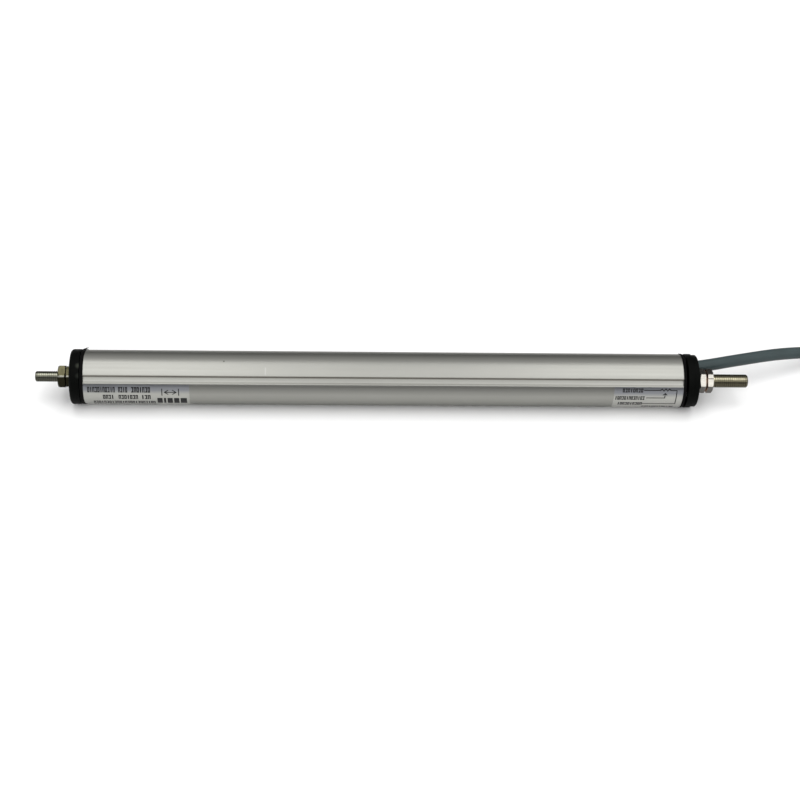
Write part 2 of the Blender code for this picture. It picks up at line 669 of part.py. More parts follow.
def make_rod_nuts(slide, looks):
    """Corner to the viewer, the thin one against the cap when the rod is fully in."""
    viewer = VIEWER_ANGLE
    inner_x = FRONT_FACE_X - SEAT_GAP - JAM_NUT_THICKNESS
    outer_x = inner_x - THREAD_GAP - ROD_NUT_THICKNESS
    bore = ROD_RADIUS + THREAD_GAP
    make_nut(
        "rod_nut_inner", JAM_NUT_FLATS, JAM_NUT_THICKNESS, inner_x, bore, viewer, slide,
        looks["nickel_steel"],
    )
    make_nut(
        "rod_nut_outer", ROD_NUT_FLATS, ROD_NUT_THICKNESS, outer_x, bore, viewer, slide,
        looks["nickel_steel"], domed=ROD_NUT_DOME,
    )


def carriage_outline():
    """Runs in the bore, clear of the two upper ports and of the board's rails."""
    radius = BORE_RADIUS - SEAT_GAP
    notch = PORT_RADIUS + SEAT_GAP
    rail_top = BOARD_TOP + THREAD_GAP + RAIL_THICKNESS + SEAT_GAP
    skirt = RAIL_REACH - SEAT_GAP
    half = math.degrees(math.acos(
        (radius ** 2 + PORT_OFFSET ** 2 - notch ** 2) / (2 * radius * PORT_OFFSET)
    ))
    bite = math.degrees(math.acos(
        (PORT_OFFSET ** 2 + notch ** 2 - radius ** 2) / (2 * PORT_OFFSET * notch)
    ))
    shoulder = math.degrees(math.asin(rail_top / radius))
    _, right, left = PORT_ANGLES
    points = [(-skirt, CARRIAGE_SOLE), (skirt, CARRIAGE_SOLE), (skirt, rail_top)]
    points += arc((0, 0), radius, shoulder, right - half, 6)
    points += arc(polar(PORT_OFFSET, right), notch, right + 180 + bite, right + 180 - bite, 8)[1:-1]
    points += arc((0, 0), radius, right + half, left - half, 16)
    points += arc(polar(PORT_OFFSET, left), notch, left + 180 + bite, left + 180 - bite, 8)[1:-1]
    points += arc((0, 0), radius, left + half, 180 - shoulder, 6) + [(-skirt, rail_top)]
    return points


def make_carriage(slide, looks):
    """A moulded slider on the rod's end, open below for the contact springs."""
    rod_hole = circle(INNER_ROD_RADIUS + THREAD_GAP, 20)
    carriage = extrude_section(
        "carriage", carriage_outline(), [rod_hole], CARRIAGE_FRONT_X, CARRIAGE_REAR_X,
        slide, looks["carriage_polymer"],
    )
    pocket = box(
        "carriage_pocket",
        (CARRIAGE_MIDDLE_X - POCKET_LENGTH / 2, -POCKET_WIDTH / 2, CARRIAGE_SOLE - CUT_EXTRA),
        (CARRIAGE_MIDDLE_X + POCKET_LENGTH / 2, POCKET_WIDTH / 2, POCKET_CEILING), slide,
    )
    cut(carriage, pocket)
    for name, across in contact_places():
        drill = upright_pin(
            f"carriage_drill_{name}", RIVET_RADIUS + THREAD_GAP, rivet_x(), across,
            POCKET_CEILING - CUT_EXTRA, POCKET_CEILING + RIVET_LENGTH - SEAT_GAP, slide,
        )
        cut(carriage, drill)
    make_nut(
        "carriage_nut", CARRIAGE_NUT_FLATS, CARRIAGE_NUT_THICKNESS, CARRIAGE_REAR_X + SEAT_GAP,
        INNER_ROD_RADIUS + THREAD_GAP, 0.0, slide, looks["nickel_steel"],
    )


def contact_places():
    return (("track", -TRACK_SPREAD), ("collector", TRACK_SPREAD))


def rivet_x():
    return CARRIAGE_MIDDLE_X + WIPER_ARM / 2


def upright_pin(name, radius, x, across, low, high, parent, material=None, head=None):
    """A round pin along the section's second axis, with an optional head at its low end."""
    shape = bmesh.new()
    stack = [(low, 0.0)]
    if head:
        stack += [(low, head[0]), (low + head[1], head[0]), (low + head[1], radius)]
    else:
        stack += [(low, radius)]
    stack += [(high, radius), (high, 0.0)]
    corners = [shape.verts.new((r, 0, z)) for z, r in stack]
    edges = [shape.edges.new(pair) for pair in zip(corners, corners[1:])]
    bmesh.ops.spin(
        shape, geom=corners + edges, cent=(0, 0, 0), axis=(0, 0, 1),
        angle=2 * math.pi, steps=16, use_merge=True,
    )
    bmesh.ops.translate(shape, verts=shape.verts, vec=(x, across, 0))
    return finish_mesh(name, shape, parent, material)


def make_wipers(slide, looks):
    """Two comb springs: a riveted tab, a sloping arm of three fingers and an upturned toe."""
    tab_x = rivet_x() + WIPER_TAB / 2
    high = POCKET_CEILING - SEAT_GAP
    contact = BOARD_TOP + CONTACT_GAP
    bend_x = tab_x - WIPER_TAB
    toe_x = bend_x - WIPER_ARM
    spine = [
        (tab_x, high), (bend_x, high), (toe_x + TOE_LENGTH, contact + TOE_RISE / 2),
        (toe_x + TOE_LENGTH / 2, contact), (toe_x, contact + TOE_RISE),
    ]
    for name, across in contact_places():
        wiper = sheet_strip(f"wiper_{name}", spine, across, slide, looks["contact_alloy"])
        hole = upright_pin(
            f"wiper_hole_{name}", RIVET_RADIUS + THREAD_GAP, rivet_x(), across,
            high - CUT_EXTRA, high + CUT_EXTRA, slide,
        )
        cut(wiper, hole)
        for number, shift in enumerate((-1, 1), 1):
            middle = across + shift * WIPER_WIDTH / 6
            slot = box(
                f"wiper_slot_{name}_{number}",
                (toe_x - CUT_EXTRA, middle - FINGER_SLOT / 2, contact - CUT_EXTRA),
                (bend_x - FINGER_ROOT, middle + FINGER_SLOT / 2, high + CUT_EXTRA), slide,
            )
            cut(wiper, slot)


def sheet_strip(name, spine, across, parent, material):
    """Thin sheet that follows the spine of (x, height) points."""
    shape = bmesh.new()
    half = WIPER_WIDTH / 2
    left = [shape.verts.new((x, across - half, z)) for x, z in spine]
    right = [shape.verts.new((x, across + half, z)) for x, z in spine]
    for i in range(len(spine) - 1):
        shape.faces.new((left[i], left[i + 1], right[i + 1], right[i]))
    strip = finish_mesh(name, shape, parent, material)
    wall = strip.modifiers.new("sheet", "SOLIDIFY")
    wall.thickness = WIPER_SHEET
    wall.offset = 0.0
    return strip


def make_rivets(slide, looks):
    sheet_low = POCKET_CEILING - SEAT_GAP - WIPER_SHEET / 2
    head = (RIVET_HEAD_RADIUS, RIVET_HEAD_HEIGHT)
    low = sheet_low - THREAD_GAP - head[1]
    for number, (_, across) in enumerate(contact_places(), 1):
        upright_pin(
            f"wiper_rivet_{number}", RIVET_RADIUS, rivet_x(), across, low,
            POCKET_CEILING + RIVET_LENGTH - 2 * SEAT_GAP, slide, looks["contact_alloy"], head,
        )


def terminal_places():
    return [(number, (number - 2) * TERMINAL_SPREAD) for number in (1, 2, 3)]


def make_board(section, looks):
    """The board with its three terminal holes, and the pins through them."""
    board = box(
        "resistor_board", (BOARD_FRONT_X, -BOARD_WIDTH / 2, BOARD_UNDERSIDE),
        (BOARD_REAR_X, BOARD_WIDTH / 2, BOARD_TOP), section, looks["board_laminate"],
    )
    pin_x = BOARD_REAR_X - TERMINAL_INSET
    for number, across in terminal_places():
        drill = upright_pin(
            f"board_drill_{number}", TERMINAL_RADIUS + THREAD_GAP, pin_x, across,
            BOARD_UNDERSIDE - CUT_EXTRA, BOARD_TOP + CUT_EXTRA, section,
        )
        cut(board, drill)
        top = BOARD_TOP + THREAD_GAP + TERMINAL_HEIGHT
        turned_terminal(f"terminal_{number}", pin_x, across, top, section, looks["solder"])


def turned_terminal(name, x, across, top, parent, material):
    """A solder pin: a thin shank through the board under a collar and a post."""
    shape = bmesh.new()
    seat = BOARD_TOP + THREAD_GAP
    low = BOARD_UNDERSIDE - SEAT_GAP
    collar_top = seat + TERMINAL_COLLAR_HEIGHT
    post = TERMINAL_RADIUS + TERMINAL_POST_STEP
    stack = [
        (low, 0.0), (low, TERMINAL_RADIUS), (seat, TERMINAL_RADIUS), (seat, TERMINAL_COLLAR),
        (collar_top, TERMINAL_COLLAR), (collar_top, post), (top, post), (top, 0.0),
    ]
    corners = [shape.verts.new((r, 0, z)) for z, r in stack]
    edges = [shape.edges.new(pair) for pair in zip(corners, corners[1:])]
    bmesh.ops.spin(
        shape, geom=corners + edges, cent=(0, 0, 0), axis=(0, 0, 1),
        angle=2 * math.pi, steps=12, use_merge=True,
    )
    bmesh.ops.translate(shape, verts=shape.verts, vec=(x, across, 0))
    return finish_mesh(name, shape, parent, material)


def make_stud(axis, looks):
    start = REAR_FACE_X - STUD_DEPTH
    profile = [
        (start, 0.0), (start, STUD_RADIUS), (STUD_TIP_X - STUD_TIP_CHAMFER, STUD_RADIUS),
        (STUD_TIP_X - TIP_LEAD, STUD_RADIUS - STUD_TIP_CHAMFER / 2),
        (STUD_TIP_X, STUD_RADIUS - STUD_TIP_CHAMFER), (STUD_TIP_X, 0.0),
    ]
    turn("rear_stud", profile, axis, looks["nickel_steel"], steps=SMALL_ROUND_STEPS)
    face_on = VIEWER_ANGLE + 30.0
    inner_x = REAR_FACE_X + BOSS_HEIGHT + SEAM_GAP
    outer_x = inner_x + STUD_NUT_THICKNESS + STUD_NUT_SPACE
    for name, x_start in (("rear_nut_inner", inner_x), ("rear_nut_outer", outer_x)):
        make_nut(
            name, STUD_NUT_FLATS, STUD_NUT_THICKNESS, x_start, STUD_RADIUS + THREAD_GAP,
            face_on, axis, looks["nickel_steel"],
        )


def smooth_route(points, step):
    """Points along a smooth curve through the route's points, about one step apart."""
    route = [Vector(point) for point in points]
    padded = [2 * route[0] - route[1]] + route + [2 * route[-1] - route[-2]]
    result = [route[0]]
    for before, start, end, after in zip(padded, padded[1:], padded[2:], padded[3:]):
        pieces = max(1, round((end - start).length / step))
        for i in range(1, pieces + 1):
            t = i / pieces
            result.append(0.5 * (
                2 * start + (end - before) * t
                + (2 * before - 5 * start + 4 * end - after) * t ** 2
                + (3 * start - before - 3 * end + after) * t ** 3
            ))
    return result


def round_wire(name, points, radius, material=None, resolution=2, parent=None):
    data = bpy.data.curves.new(name, "CURVE")
    data.dimensions = "3D"
    spline = data.splines.new("POLY")
    spline.points.add(len(points) - 1)
    for place, point in zip(spline.points, points):
        place.co = (*point, 1.0)
    data.bevel_depth = radius
    data.bevel_resolution = resolution
    data.use_fill_caps = True
    return add_object(name, data, parent, material)


def cable_points(start=0, stop=None):
    return [
        Vector((REAR_FACE_X + beyond, y, z)) for beyond, y, z in CABLE_ROUTE[start:stop]
    ]


def make_cable_cutter():
    """The cable's way through the rear cap and gasket, with room all round."""
    route = smooth_route(cable_points(0, CABLE_WAY_POINTS), CABLE_WAY_STEP)
    guide = round_wire("cable_way_guide", route, CABLE_RADIUS + SEAT_GAP, resolution=6)
    shape = bmesh.new()
    shape.from_mesh(guide.to_mesh())
    bpy.data.objects.remove(guide)
    return finish_mesh("cable_way", shape, None)


def make_cable(looks):
    route = smooth_route(cable_points(), CABLE_STEP)
    round_wire("cable", route, CABLE_RADIUS, looks["cable_grey"], resolution=3)


def make_leads(looks):
    """Three wires from the terminals, arched up and gathered into the cable's inner end."""
    cable_start = cable_points(0, 1)[0] - Vector((SEAT_GAP, 0, 0))
    roll = Matrix.Rotation(math.radians(SECTION_ROLL), 3, "X")
    lift = Vector((0, 0, RIM_RADIUS))
    names = ("lead_brown", "lead_yellow", "lead_blue")
    for (number, across), name in zip(terminal_places(), names):
        post_top = BOARD_TOP + THREAD_GAP + TERMINAL_HEIGHT + SEAT_GAP
        base = roll @ Vector((BOARD_REAR_X - TERMINAL_INSET, across, post_top)) + lift
        up = roll @ Vector((0, 0, LEAD_RISE))
        offset = Vector((0, *polar(LEAD_SPREAD, 120 * number + LEAD_TURN)))
        end = cable_start + offset
        points = [
            base, base + up, base + 1.6 * up + Vector((LEAD_ARCH, 0, 0)),
            end - Vector((LEAD_STRAIGHT, 0, 0)), end,
        ]
        round_wire(
            name, smooth_route(points, LEAD_STEP), LEAD_RADIUS,
            looks[name.replace("lead", "wire")],
        )


def hank_half_width(x, end_radius, waist_radius):
    """The run's distance from the hank's middle line: wide at the folds, drawn in at the tie."""
    along = 0.5 - 0.5 * math.cos(math.pi * min(1.0, abs(x) / HANK_HALF_RUN))
    return waist_radius + (end_radius - waist_radius) * along


def hank_outline():
    end_radius = HANK_FOLD_RADIUS + CABLE_RADIUS
    waist_radius = HANK_WAIST_RADIUS + CABLE_RADIUS
    steps = 16
    run = [HANK_HALF_RUN * (2 * i / steps - 1) for i in range(1, steps)]
    far = [(x, hank_half_width(x, end_radius, waist_radius)) for x in reversed(run)]
    right = arc((HANK_HALF_RUN, 0), end_radius, -90, 90, 12)
    left = arc((-HANK_HALF_RUN, 0), end_radius, 90, 270, 12)
    near = [(x, -hank_half_width(x, end_radius, waist_radius)) for x in run]
    return right + far + left + near


def strand_middle(x):
    """How far the outermost strand's middle line lies from the hank's own."""
    return hank_half_width(x, HANK_FOLD_RADIUS, HANK_WAIST_RADIUS)


def make_core_way():
    """The room beside and above the cores, where the cable has ended and its last strand is missing."""
    steps = 6
    start = CABLE_END - SEAT_GAP
    stop = CORE_END + SEAT_GAP
    along = [start + (stop - start) * i / steps for i in range(steps + 1)]
    outer = [(x, strand_middle(x) + CABLE_RADIUS + CUT_EXTRA) for x in along]
    inner = [(x, strand_middle(x) - CABLE_RADIUS) for x in reversed(along)]
    shape = bmesh.new()
    corners = [
        shape.verts.new((HANK_CENTRE_X - x, HANK_CENTRE_Y - y, 2 * CABLE_RADIUS))
        for x, y in outer + inner
    ]
    face = shape.faces.new(corners)
    pulled = bmesh.ops.extrude_face_region(shape, geom=[face])
    moved = [item for item in pulled["geom"] if isinstance(item, bmesh.types.BMVert)]
    bmesh.ops.translate(shape, verts=moved, vec=(0, 0, HANK_HEIGHT))
    return finish_mesh("core_way", shape, None)


def make_hank(looks):
    """The outer shape of the spare cable, with a shallow way below for the tie."""
    shape = bmesh.new()
    corners = [
        shape.verts.new((HANK_CENTRE_X + x, HANK_CENTRE_Y + y, 0)) for x, y in hank_outline()
    ]
    face = shape.faces.new(corners)
    pulled = bmesh.ops.extrude_face_region(shape, geom=[face])
    moved = [item for item in pulled["geom"] if isinstance(item, bmesh.types.BMVert)]
    bmesh.ops.translate(shape, verts=moved, vec=(0, 0, HANK_HEIGHT))
    rims = [edge for edge in shape.edges if edge.verts[0].co.z == edge.verts[1].co.z]
    bmesh.ops.bevel(
        shape, geom=rims, offset=HANK_ROUNDING, segments=2, profile=0.5, affect="EDGES",
    )
    bmesh.ops.triangulate(shape, faces=shape.faces)
    hank = finish_mesh("cable_hank", shape, None, looks["cable_grey"])
    half_way = TIE_WIDTH / 2 + SEAT_GAP
    reach = HANK_FOLD_RADIUS + CUT_EXTRA
    way = box(
        "tie_way", (HANK_CENTRE_X - half_way, HANK_CENTRE_Y - reach, -CUT_EXTRA),
        (HANK_CENTRE_X + half_way, HANK_CENTRE_Y + reach, TIE_THICKNESS + SEAT_GAP), None,
    )
    cut(hank, way)
    cut(hank, make_core_way())


def rounded_box_outline(half_width, low, high, corner):
    outline = []
    for sign_y, sign_z, start in ((1, -1, -90), (1, 1, 0), (-1, 1, 90), (-1, -1, 180)):
        centre_z = high - corner if sign_z > 0 else low + corner
        outline += arc((sign_y * (half_width - corner), centre_z), corner, start, start + 90, 6)
    return outline


def make_tie(looks):
    """A flat strap round the hank's waist; it lies on the floor under the cable."""
    half_strap = TIE_WIDTH / 2
    widest = hank_half_width(
        half_strap, HANK_FOLD_RADIUS + CABLE_RADIUS, HANK_WAIST_RADIUS + CABLE_RADIUS
    )
    inner_half = widest + SEAT_GAP
    inner_low = TIE_THICKNESS
    inner_high = HANK_HEIGHT + SEAT_GAP
    outer = rounded_box_outline(
        inner_half + TIE_THICKNESS, 0.0, inner_high + TIE_THICKNESS, TIE_CORNER
    )
    inner = rounded_box_outline(inner_half, inner_low, inner_high, TIE_CORNER - TIE_THICKNESS)
    place = make_frame("tie_frame", None, (HANK_CENTRE_X, HANK_CENTRE_Y, 0))
    extrude_section(
        "hank_tie", outer, [inner], -half_strap, half_strap, place, looks["black_rubber"],
    )


def make_cores(looks):
    """Three bare cores that come out of the cable's end and lie on the strand below."""
    rest = 2 * CABLE_RADIUS + SEAT_GAP + CORE_RADIUS
    start = CABLE_END + SEAT_GAP
    for number, name in enumerate(("core_brown", "core_yellow", "core_blue")):
        sideways, rise = polar(CORE_PITCH, 210 - 120 * number)
        spread = (number - 1) * CORE_SPREAD
        places = (
            (start, sideways, UPPER_LAYER + rise),
            ((start + CORE_END) / 2, (sideways + spread) / 2, (UPPER_LAYER + rise + rest) / 2),
            (CORE_END, spread, rest),
        )
        points = [
            Vector((HANK_CENTRE_X - x, HANK_CENTRE_Y - strand_middle(x) + across, height))
            for x, across, height in places
        ]
        round_wire(
            name, smooth_route(points, CORE_STEP), CORE_RADIUS, looks[name.replace("core", "wire")],
        )


def main():
    clear_scene()
    looks = make_materials()
    axis = make_frame("axis_frame", None, (0, 0, RIM_RADIUS))
    section = make_frame("section_frame", axis, roll=SECTION_ROLL)
    slide = make_frame("slide_frame", section)
    nut_slide = make_frame("nut_slide_frame", axis)
    cable_cutter = make_cable_cutter()
    make_tube(section, looks)
    make_front_gasket(section, looks)
    make_rear_gasket(section, looks, cable_cutter)
    make_front_cap(section, looks)
    make_rear_cap(section, looks, cable_cutter)
    make_screws(section, looks)
    make_bearing_and_seal(axis, looks)
    make_rod(nut_slide, looks)
    make_rod_nuts(nut_slide, looks)
    make_carriage(slide, looks)
    make_wipers(slide, looks)
    make_rivets(slide, looks)
    make_board(section, looks)
    make_stud(axis, looks)
    make_leads(looks)
    make_cable(looks)
    make_hank(looks)
    make_tie(looks)
    make_cores(looks)


main()
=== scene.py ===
import math

import bmesh
import bpy
from mathutils import Matrix, Vector


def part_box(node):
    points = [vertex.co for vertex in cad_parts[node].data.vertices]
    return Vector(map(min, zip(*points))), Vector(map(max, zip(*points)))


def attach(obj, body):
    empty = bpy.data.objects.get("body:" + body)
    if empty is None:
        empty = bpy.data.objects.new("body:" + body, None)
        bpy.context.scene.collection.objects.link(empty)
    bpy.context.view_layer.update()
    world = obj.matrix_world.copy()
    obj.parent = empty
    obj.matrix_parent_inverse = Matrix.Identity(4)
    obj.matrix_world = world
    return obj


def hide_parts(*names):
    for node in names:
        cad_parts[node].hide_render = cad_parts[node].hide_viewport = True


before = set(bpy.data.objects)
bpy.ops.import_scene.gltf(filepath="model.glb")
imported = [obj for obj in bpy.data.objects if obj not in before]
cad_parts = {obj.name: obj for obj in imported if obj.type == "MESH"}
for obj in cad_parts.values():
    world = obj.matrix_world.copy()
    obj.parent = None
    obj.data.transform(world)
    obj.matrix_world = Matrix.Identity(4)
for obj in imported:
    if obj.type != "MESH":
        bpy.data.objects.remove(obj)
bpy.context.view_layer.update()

bl_info = {
    "name": "Shock travel sensor",
    "version": (1, 0, 0),
    "blender": (4, 5, 0),
    "location": "View3D > Sidebar > Sensor",
    "description": "Finishes, threads, nuts, labels and cable of a shock travel sensor",
    "category": "Object",
}

MM = 0.001

# Points nearer than this are one point
MERGE = 0.002 * MM

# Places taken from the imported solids. Past the tube's end come the gasket, the rear cap and the
# seams between them
ROD_TIP_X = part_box("rod")[0].x
ROD_THREAD_END_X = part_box("rod_nut_inner")[1].x + 0.15 * MM
TUBE_FRONT_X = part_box("tube_body")[0].x
TUBE_REAR_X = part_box("tube_body")[1].x
REAR_END_THICKNESS = 5.6 * MM
REAR_FACE_X = TUBE_REAR_X + REAR_END_THICKNESS
STUD_TIP_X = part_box("rear_stud")[1].x
STUD_THREAD_START_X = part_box("rear_cap")[1].x - 0.6 * MM
ROD_RADIUS = 2.0 * MM
STUD_RADIUS = (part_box("rear_stud")[1].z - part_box("rear_stud")[0].z) / 2
AXIS_HEIGHT = (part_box("rear_stud")[1].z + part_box("rear_stud")[0].z) / 2
TUBE_RADIUS = 10.0 * MM

# The turn of the tube's section round its axis, and where the board's tracks run in it
SECTION_ROLL = -83.0
TRACK_SPREAD = 2.6 * MM
TRACK_HALF_WIDTH = 1.25 * MM

# The cable's way: distance past the rear cap's face, world y and height above the floor
CABLE_RADIUS = 2.3 * MM
CABLE_ROUTE = (
    (-13.0 * MM, 5.61 * MM, 11.19 * MM),
    (-6.5 * MM, 5.64 * MM, 11.20 * MM),
    (-3.0 * MM, 5.93 * MM, 11.26 * MM),
    (0.0 * MM, 6.48 * MM, 11.32 * MM),
    (4.0 * MM, 7.48 * MM, 11.28 * MM),
    (8.5 * MM, 8.75 * MM, 11.10 * MM),
    (17.6 * MM, 11.80 * MM, 10.50 * MM),
    (32.0 * MM, 16.60 * MM, 9.30 * MM),
    (42.0 * MM, 19.80 * MM, 7.90 * MM),
    (52.0 * MM, 22.80 * MM, 5.90 * MM),
    (60.0 * MM, 24.90 * MM, 4.10 * MM),
    (67.0 * MM, 26.60 * MM, 2.75 * MM),
    (72.0 * MM, 27.60 * MM, 2.32 * MM),
    (77.7 * MM, 28.45 * MM, 2.32 * MM),
)
ROUTE_STEP = 1.2 * MM
CORE_COLOURS = (("brown", "#5A3420"), ("yellow", "#D8B430"), ("blue", "#2B56A8"))

# The hank of spare cable: two strands side by side in two layers, drawn in at the tie
HANK_CENTRE = (REAR_FACE_X + 132.8 * MM, 10.8 * MM)
HANK_HALF_RUN = 40.0 * MM
OUTER_FOLD = 18.8 * MM
INNER_FOLD = 14.0 * MM
OUTER_WAIST = 7.4 * MM
INNER_WAIST = 2.6 * MM
LOWER_LAYER = 2.32 * MM
UPPER_LAYER = 6.95 * MM
TIE_LIFT = 1.0 * MM
TIE_LIFT_FROM = 5.0 * MM
TIE_LIFT_TO = 17.0 * MM
CABLE_END = 12.0 * MM
RUN_STEPS = 24
FOLD_STEPS = 20
FOLD_SETTLED = 0.8

# The camera: the point of the sensor's axis that stands in the picture's middle column
FOCAL_PIXELS = 1730.0
PICTURE_PIXELS = 800.0
FILM_WIDTH = 36.0
CAMERA_DISTANCE = 0.6465
CAMERA_ELEVATION = 40.0
CAMERA_YAW = 3.22
CAMERA_ROLL = 3.12
AIM_X = 1.76 * MM
AIM_PIXELS_UP = 21.25

# The floor, and how much brighter than its own colour it shows to the camera and in metal
FLOOR_SIZE = 40.0
FLOOR_HEIGHT = -0.02 * MM
FLOOR_LIFT = 1.5

# Brightness of the cloth tent round the set, by the angle from the floor in front over the top
# to the floor behind: dark at the open front, bright above the camera, dim at the back. The gap
# that the camera looks through is dimmer, from its middle to its edge
TENT_LEVEL = 2.0
TENT_CLOTH = (
    (0.0, 0.025), (10.0, 0.035), (15.0, 0.25), (22.0, 0.95), (45.0, 0.95), (55.0, 0.5),
    (90.0, 0.45), (108.0, 0.52), (122.0, 0.5), (140.0, 0.33), (152.0, 0.2), (162.0, 0.06),
    (180.0, 0.02),
)
TENT_GAP = 0.5
TENT_GAP_FROM = 0.04
TENT_GAP_TO = 0.2

# The two soft boxes: brightness, distance, elevation in degrees, size and the gap between them
KEY_RADIANCE = 2.9
KEY_DISTANCE = 1.0
KEY_ELEVATION = 79.0
KEY_HEIGHT = 1.27
KEY_WIDTH = 0.3
KEY_GAP = 0.22

SMOOTH_ANGLE = math.radians(35)

# Rubber that is squeezed out over the tube's edges: from angle, to angle, by how many mm
LIP_RADIUS = 10.13
LIP_STEPS = 72
FRONT_LIP = (
    (38, 44, 0.45), (44, 56, 0.95), (56, 64, 0.65), (64, 74, 0.35), (74, 88, 0.15),
    (196, 206, 0.15), (206, 216, 0.3), (216, 224, 0.5), (224, 236, 0.7), (236, 246, 0.4),
)
REAR_LIP = (
    (34, 46, 0.2), (46, 56, 0.4), (56, 66, 0.2), (214, 224, 0.2), (224, 238, 0.45),
    (238, 250, 0.2),
)
NIB_FROM_RADIUS = 10.07 * MM
FRONT_NIB_SHIFT = (1.65 * MM, 0.12 * MM, 0.2 * MM)
REAR_NIB_SHIFT = (-0.9 * MM, 0.0, 0.0)

# One pitch of a rolled and plated thread: share of the pitch and of the depth; its crests are
# drawn wider than a sharp thread's, because plating fills the roots
THREAD_DEPTH = 0.3
THREAD_STEPS = 32
# The thread begins this many pitches before the cut, past its run-in
THREAD_LEAD_IN = 1.37
THREAD_FORM = ((0.0, 0.0), (0.05, 0.0), (0.20, 1.0), (0.80, 1.0), (0.95, 0.0), (1.0, 0.0))

# Spacing of the lines that turning leaves on metal
TURNED_LINES = 0.15 * MM
FINE_LINES = 0.1 * MM

# The nuts. One flat keeps the plating's colour, as the lit flat: its middle's angle round the axis
# on the rod and on the stud, and the angles from its middle at which the lit flat ends and is still
# whole.
# The painted shade on the other flats, and the inner rod nut's plating darkened as painted shade,
# are shares of the plating's brightness
ROD_LIT_FLAT = 110.0
STUD_LIT_FLAT = 135.0
FLAT_EDGE = (35.0, 32.5)
STUD_NUT_FLAT_SHADE = 0.21
OUTER_NUT_FLAT_SHADE = 0.17
INNER_NUT_FLAT_SHADE = 0.25
INNER_NUT_PAINTED_SHADE = 0.6
NUT_CORNER_RADIUS = 3.8 * MM
FLAT_TO_CORNER = 30.0
# Painted highlight along the rod nuts' front corner: its colour, and its width in degrees
CORNER_HIGHLIGHT = "#83837A"
CORNER_HIGHLIGHT_WIDTH = math.degrees(0.5 * MM / NUT_CORNER_RADIUS)
NUT_GAP_X = (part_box("rear_nut_inner")[1].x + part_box("rear_nut_outer")[0].x) / 2
# Brownish painted shade and reflection where the stud's two nuts meet, then a scratch on the outer
# nut
NUT_GAP_SHADE = "#7F5F48"
NUT_GAP_SHADE_HALF_WIDTH = 0.5 * MM
SCRATCH = "#5A5650"
SCRATCH_ANGLE = 129.0
SCRATCH_WIDTH = math.degrees(0.3 * MM / NUT_CORNER_RADIUS)
SCRATCH_HALF_LENGTH = 1.4 * MM

# The lit side of the rod's and the stud's threads, and the painted highlight on it: angle round the
# axis and width in degrees, then the highlight's colour. The rest of the thread gets painted shade
ROD_PAINTED_LIGHT = ((125.0, 36.0), (117.0, 14.0), "#8C8C7E")
STUD_PAINTED_LIGHT = ((131.0, 36.0), (121.0, 13.0), "#8F8B78")
THREAD_PAINTED_SHADE = 0.58

# Marks on the tube and smudges on the front cap. The painted dark reflection below the groove goes
# from none to full between two angles and back between two. The pit and the smudges give x, angle,
# radius and colour, and the scratch gives x, half width, from angle, to angle and colour
BELOW_GROOVE_SHADE_ANGLES = (151.0, 158.5, 165.0, 179.0)
BELOW_GROOVE_SHADE = 0.66
TUBE_SPECK = (-63.45 * MM, 103.5, 0.42 * MM, "#3A3A36")
TUBE_SCRATCH = (-48.2 * MM, 0.3 * MM, 118.0, 134.0, "#949490")
CAP_SMUDGES = (
    (-116.3 * MM, 117.0, 1.3 * MM, "#2E302A"), (-116.3 * MM, 138.5, 1.2 * MM, "#1C1E1B"),
)
CAP_RADIUS = 10.2 * MM

# The lines of painted shade in the clamp groove's corners: angle round the axis, width in degrees,
# colour
GROOVE_CORNER_SHADES = (
    (151.8, math.degrees(0.5 * MM / TUBE_RADIUS), "#757570"),
    (138.9, math.degrees(0.72 * MM / TUBE_RADIUS), "#63615B"),
)

# The labels: where each starts and ends along the tube and round it. Angles go from the back
# over the top (90 degrees) to the front (180) and below (270)
LABEL_CUT = 0.5 * MM
LEFT_LABEL = (-114.55 * MM, -76.0 * MM, 155.9, 262.0)
RIGHT_LABEL = (81.0 * MM, 106.9 * MM, 154.6, 262.0)

# The painted dark reflection across both labels, from angle to angle
LABEL_SHADE_BAND = (140.0, 173.0)
LABEL_SHADE_COLOUR = "#7C7E82"

# Rows of print marks: from x, to x, from angle, to angle, and the shapes in turn.
# The shapes stand for print and spell nothing: i a bar, o a ring, u an open box, = two bars
# that a short one joins. A mark takes up a share of its place in the row
MARK_SHARE = 0.88
LINE_OVERLAP = 0.9
PRINT_ROWS = {
    "left": (
        (-113.1, -103.0, 161.3, 174.6, "oiu=oiuo=iu"),
        (-101.9, -98.5, 161.3, 174.6, "u=io"),
        (-97.2, -90.2, 161.3, 174.6, "=uoiu=o"),
        (-107.6, -103.5, 181.0, 193.7, "ou=i"),
        (-101.9, -94.7, 181.0, 193.7, "u=oio=u"),
        (-93.6, -90.1, 181.0, 193.7, "i=u"),
        (-111.2, -88.5, 200.7, 213.0, "u=oiu=oi=uoiu=oui=ou=iou"),
        (-111.2, -88.5, 220.0, 232.0, "oi=uoiu=o=uiou=oiu=o=uio"),
    ),
    "right": (
        (84.0, 91.8, 157.2, 166.6, "o=uiou=o"),
        (81.4, 92.6, 176.0, 186.0, "iou=oiuo=uio="),
        (82.7, 92.1, 194.0, 204.5, "iou=oiu=ou"),
        (92.2, 104.2, 209.7, 219.0, "o=uiou=ioui=o"),
    ),
}
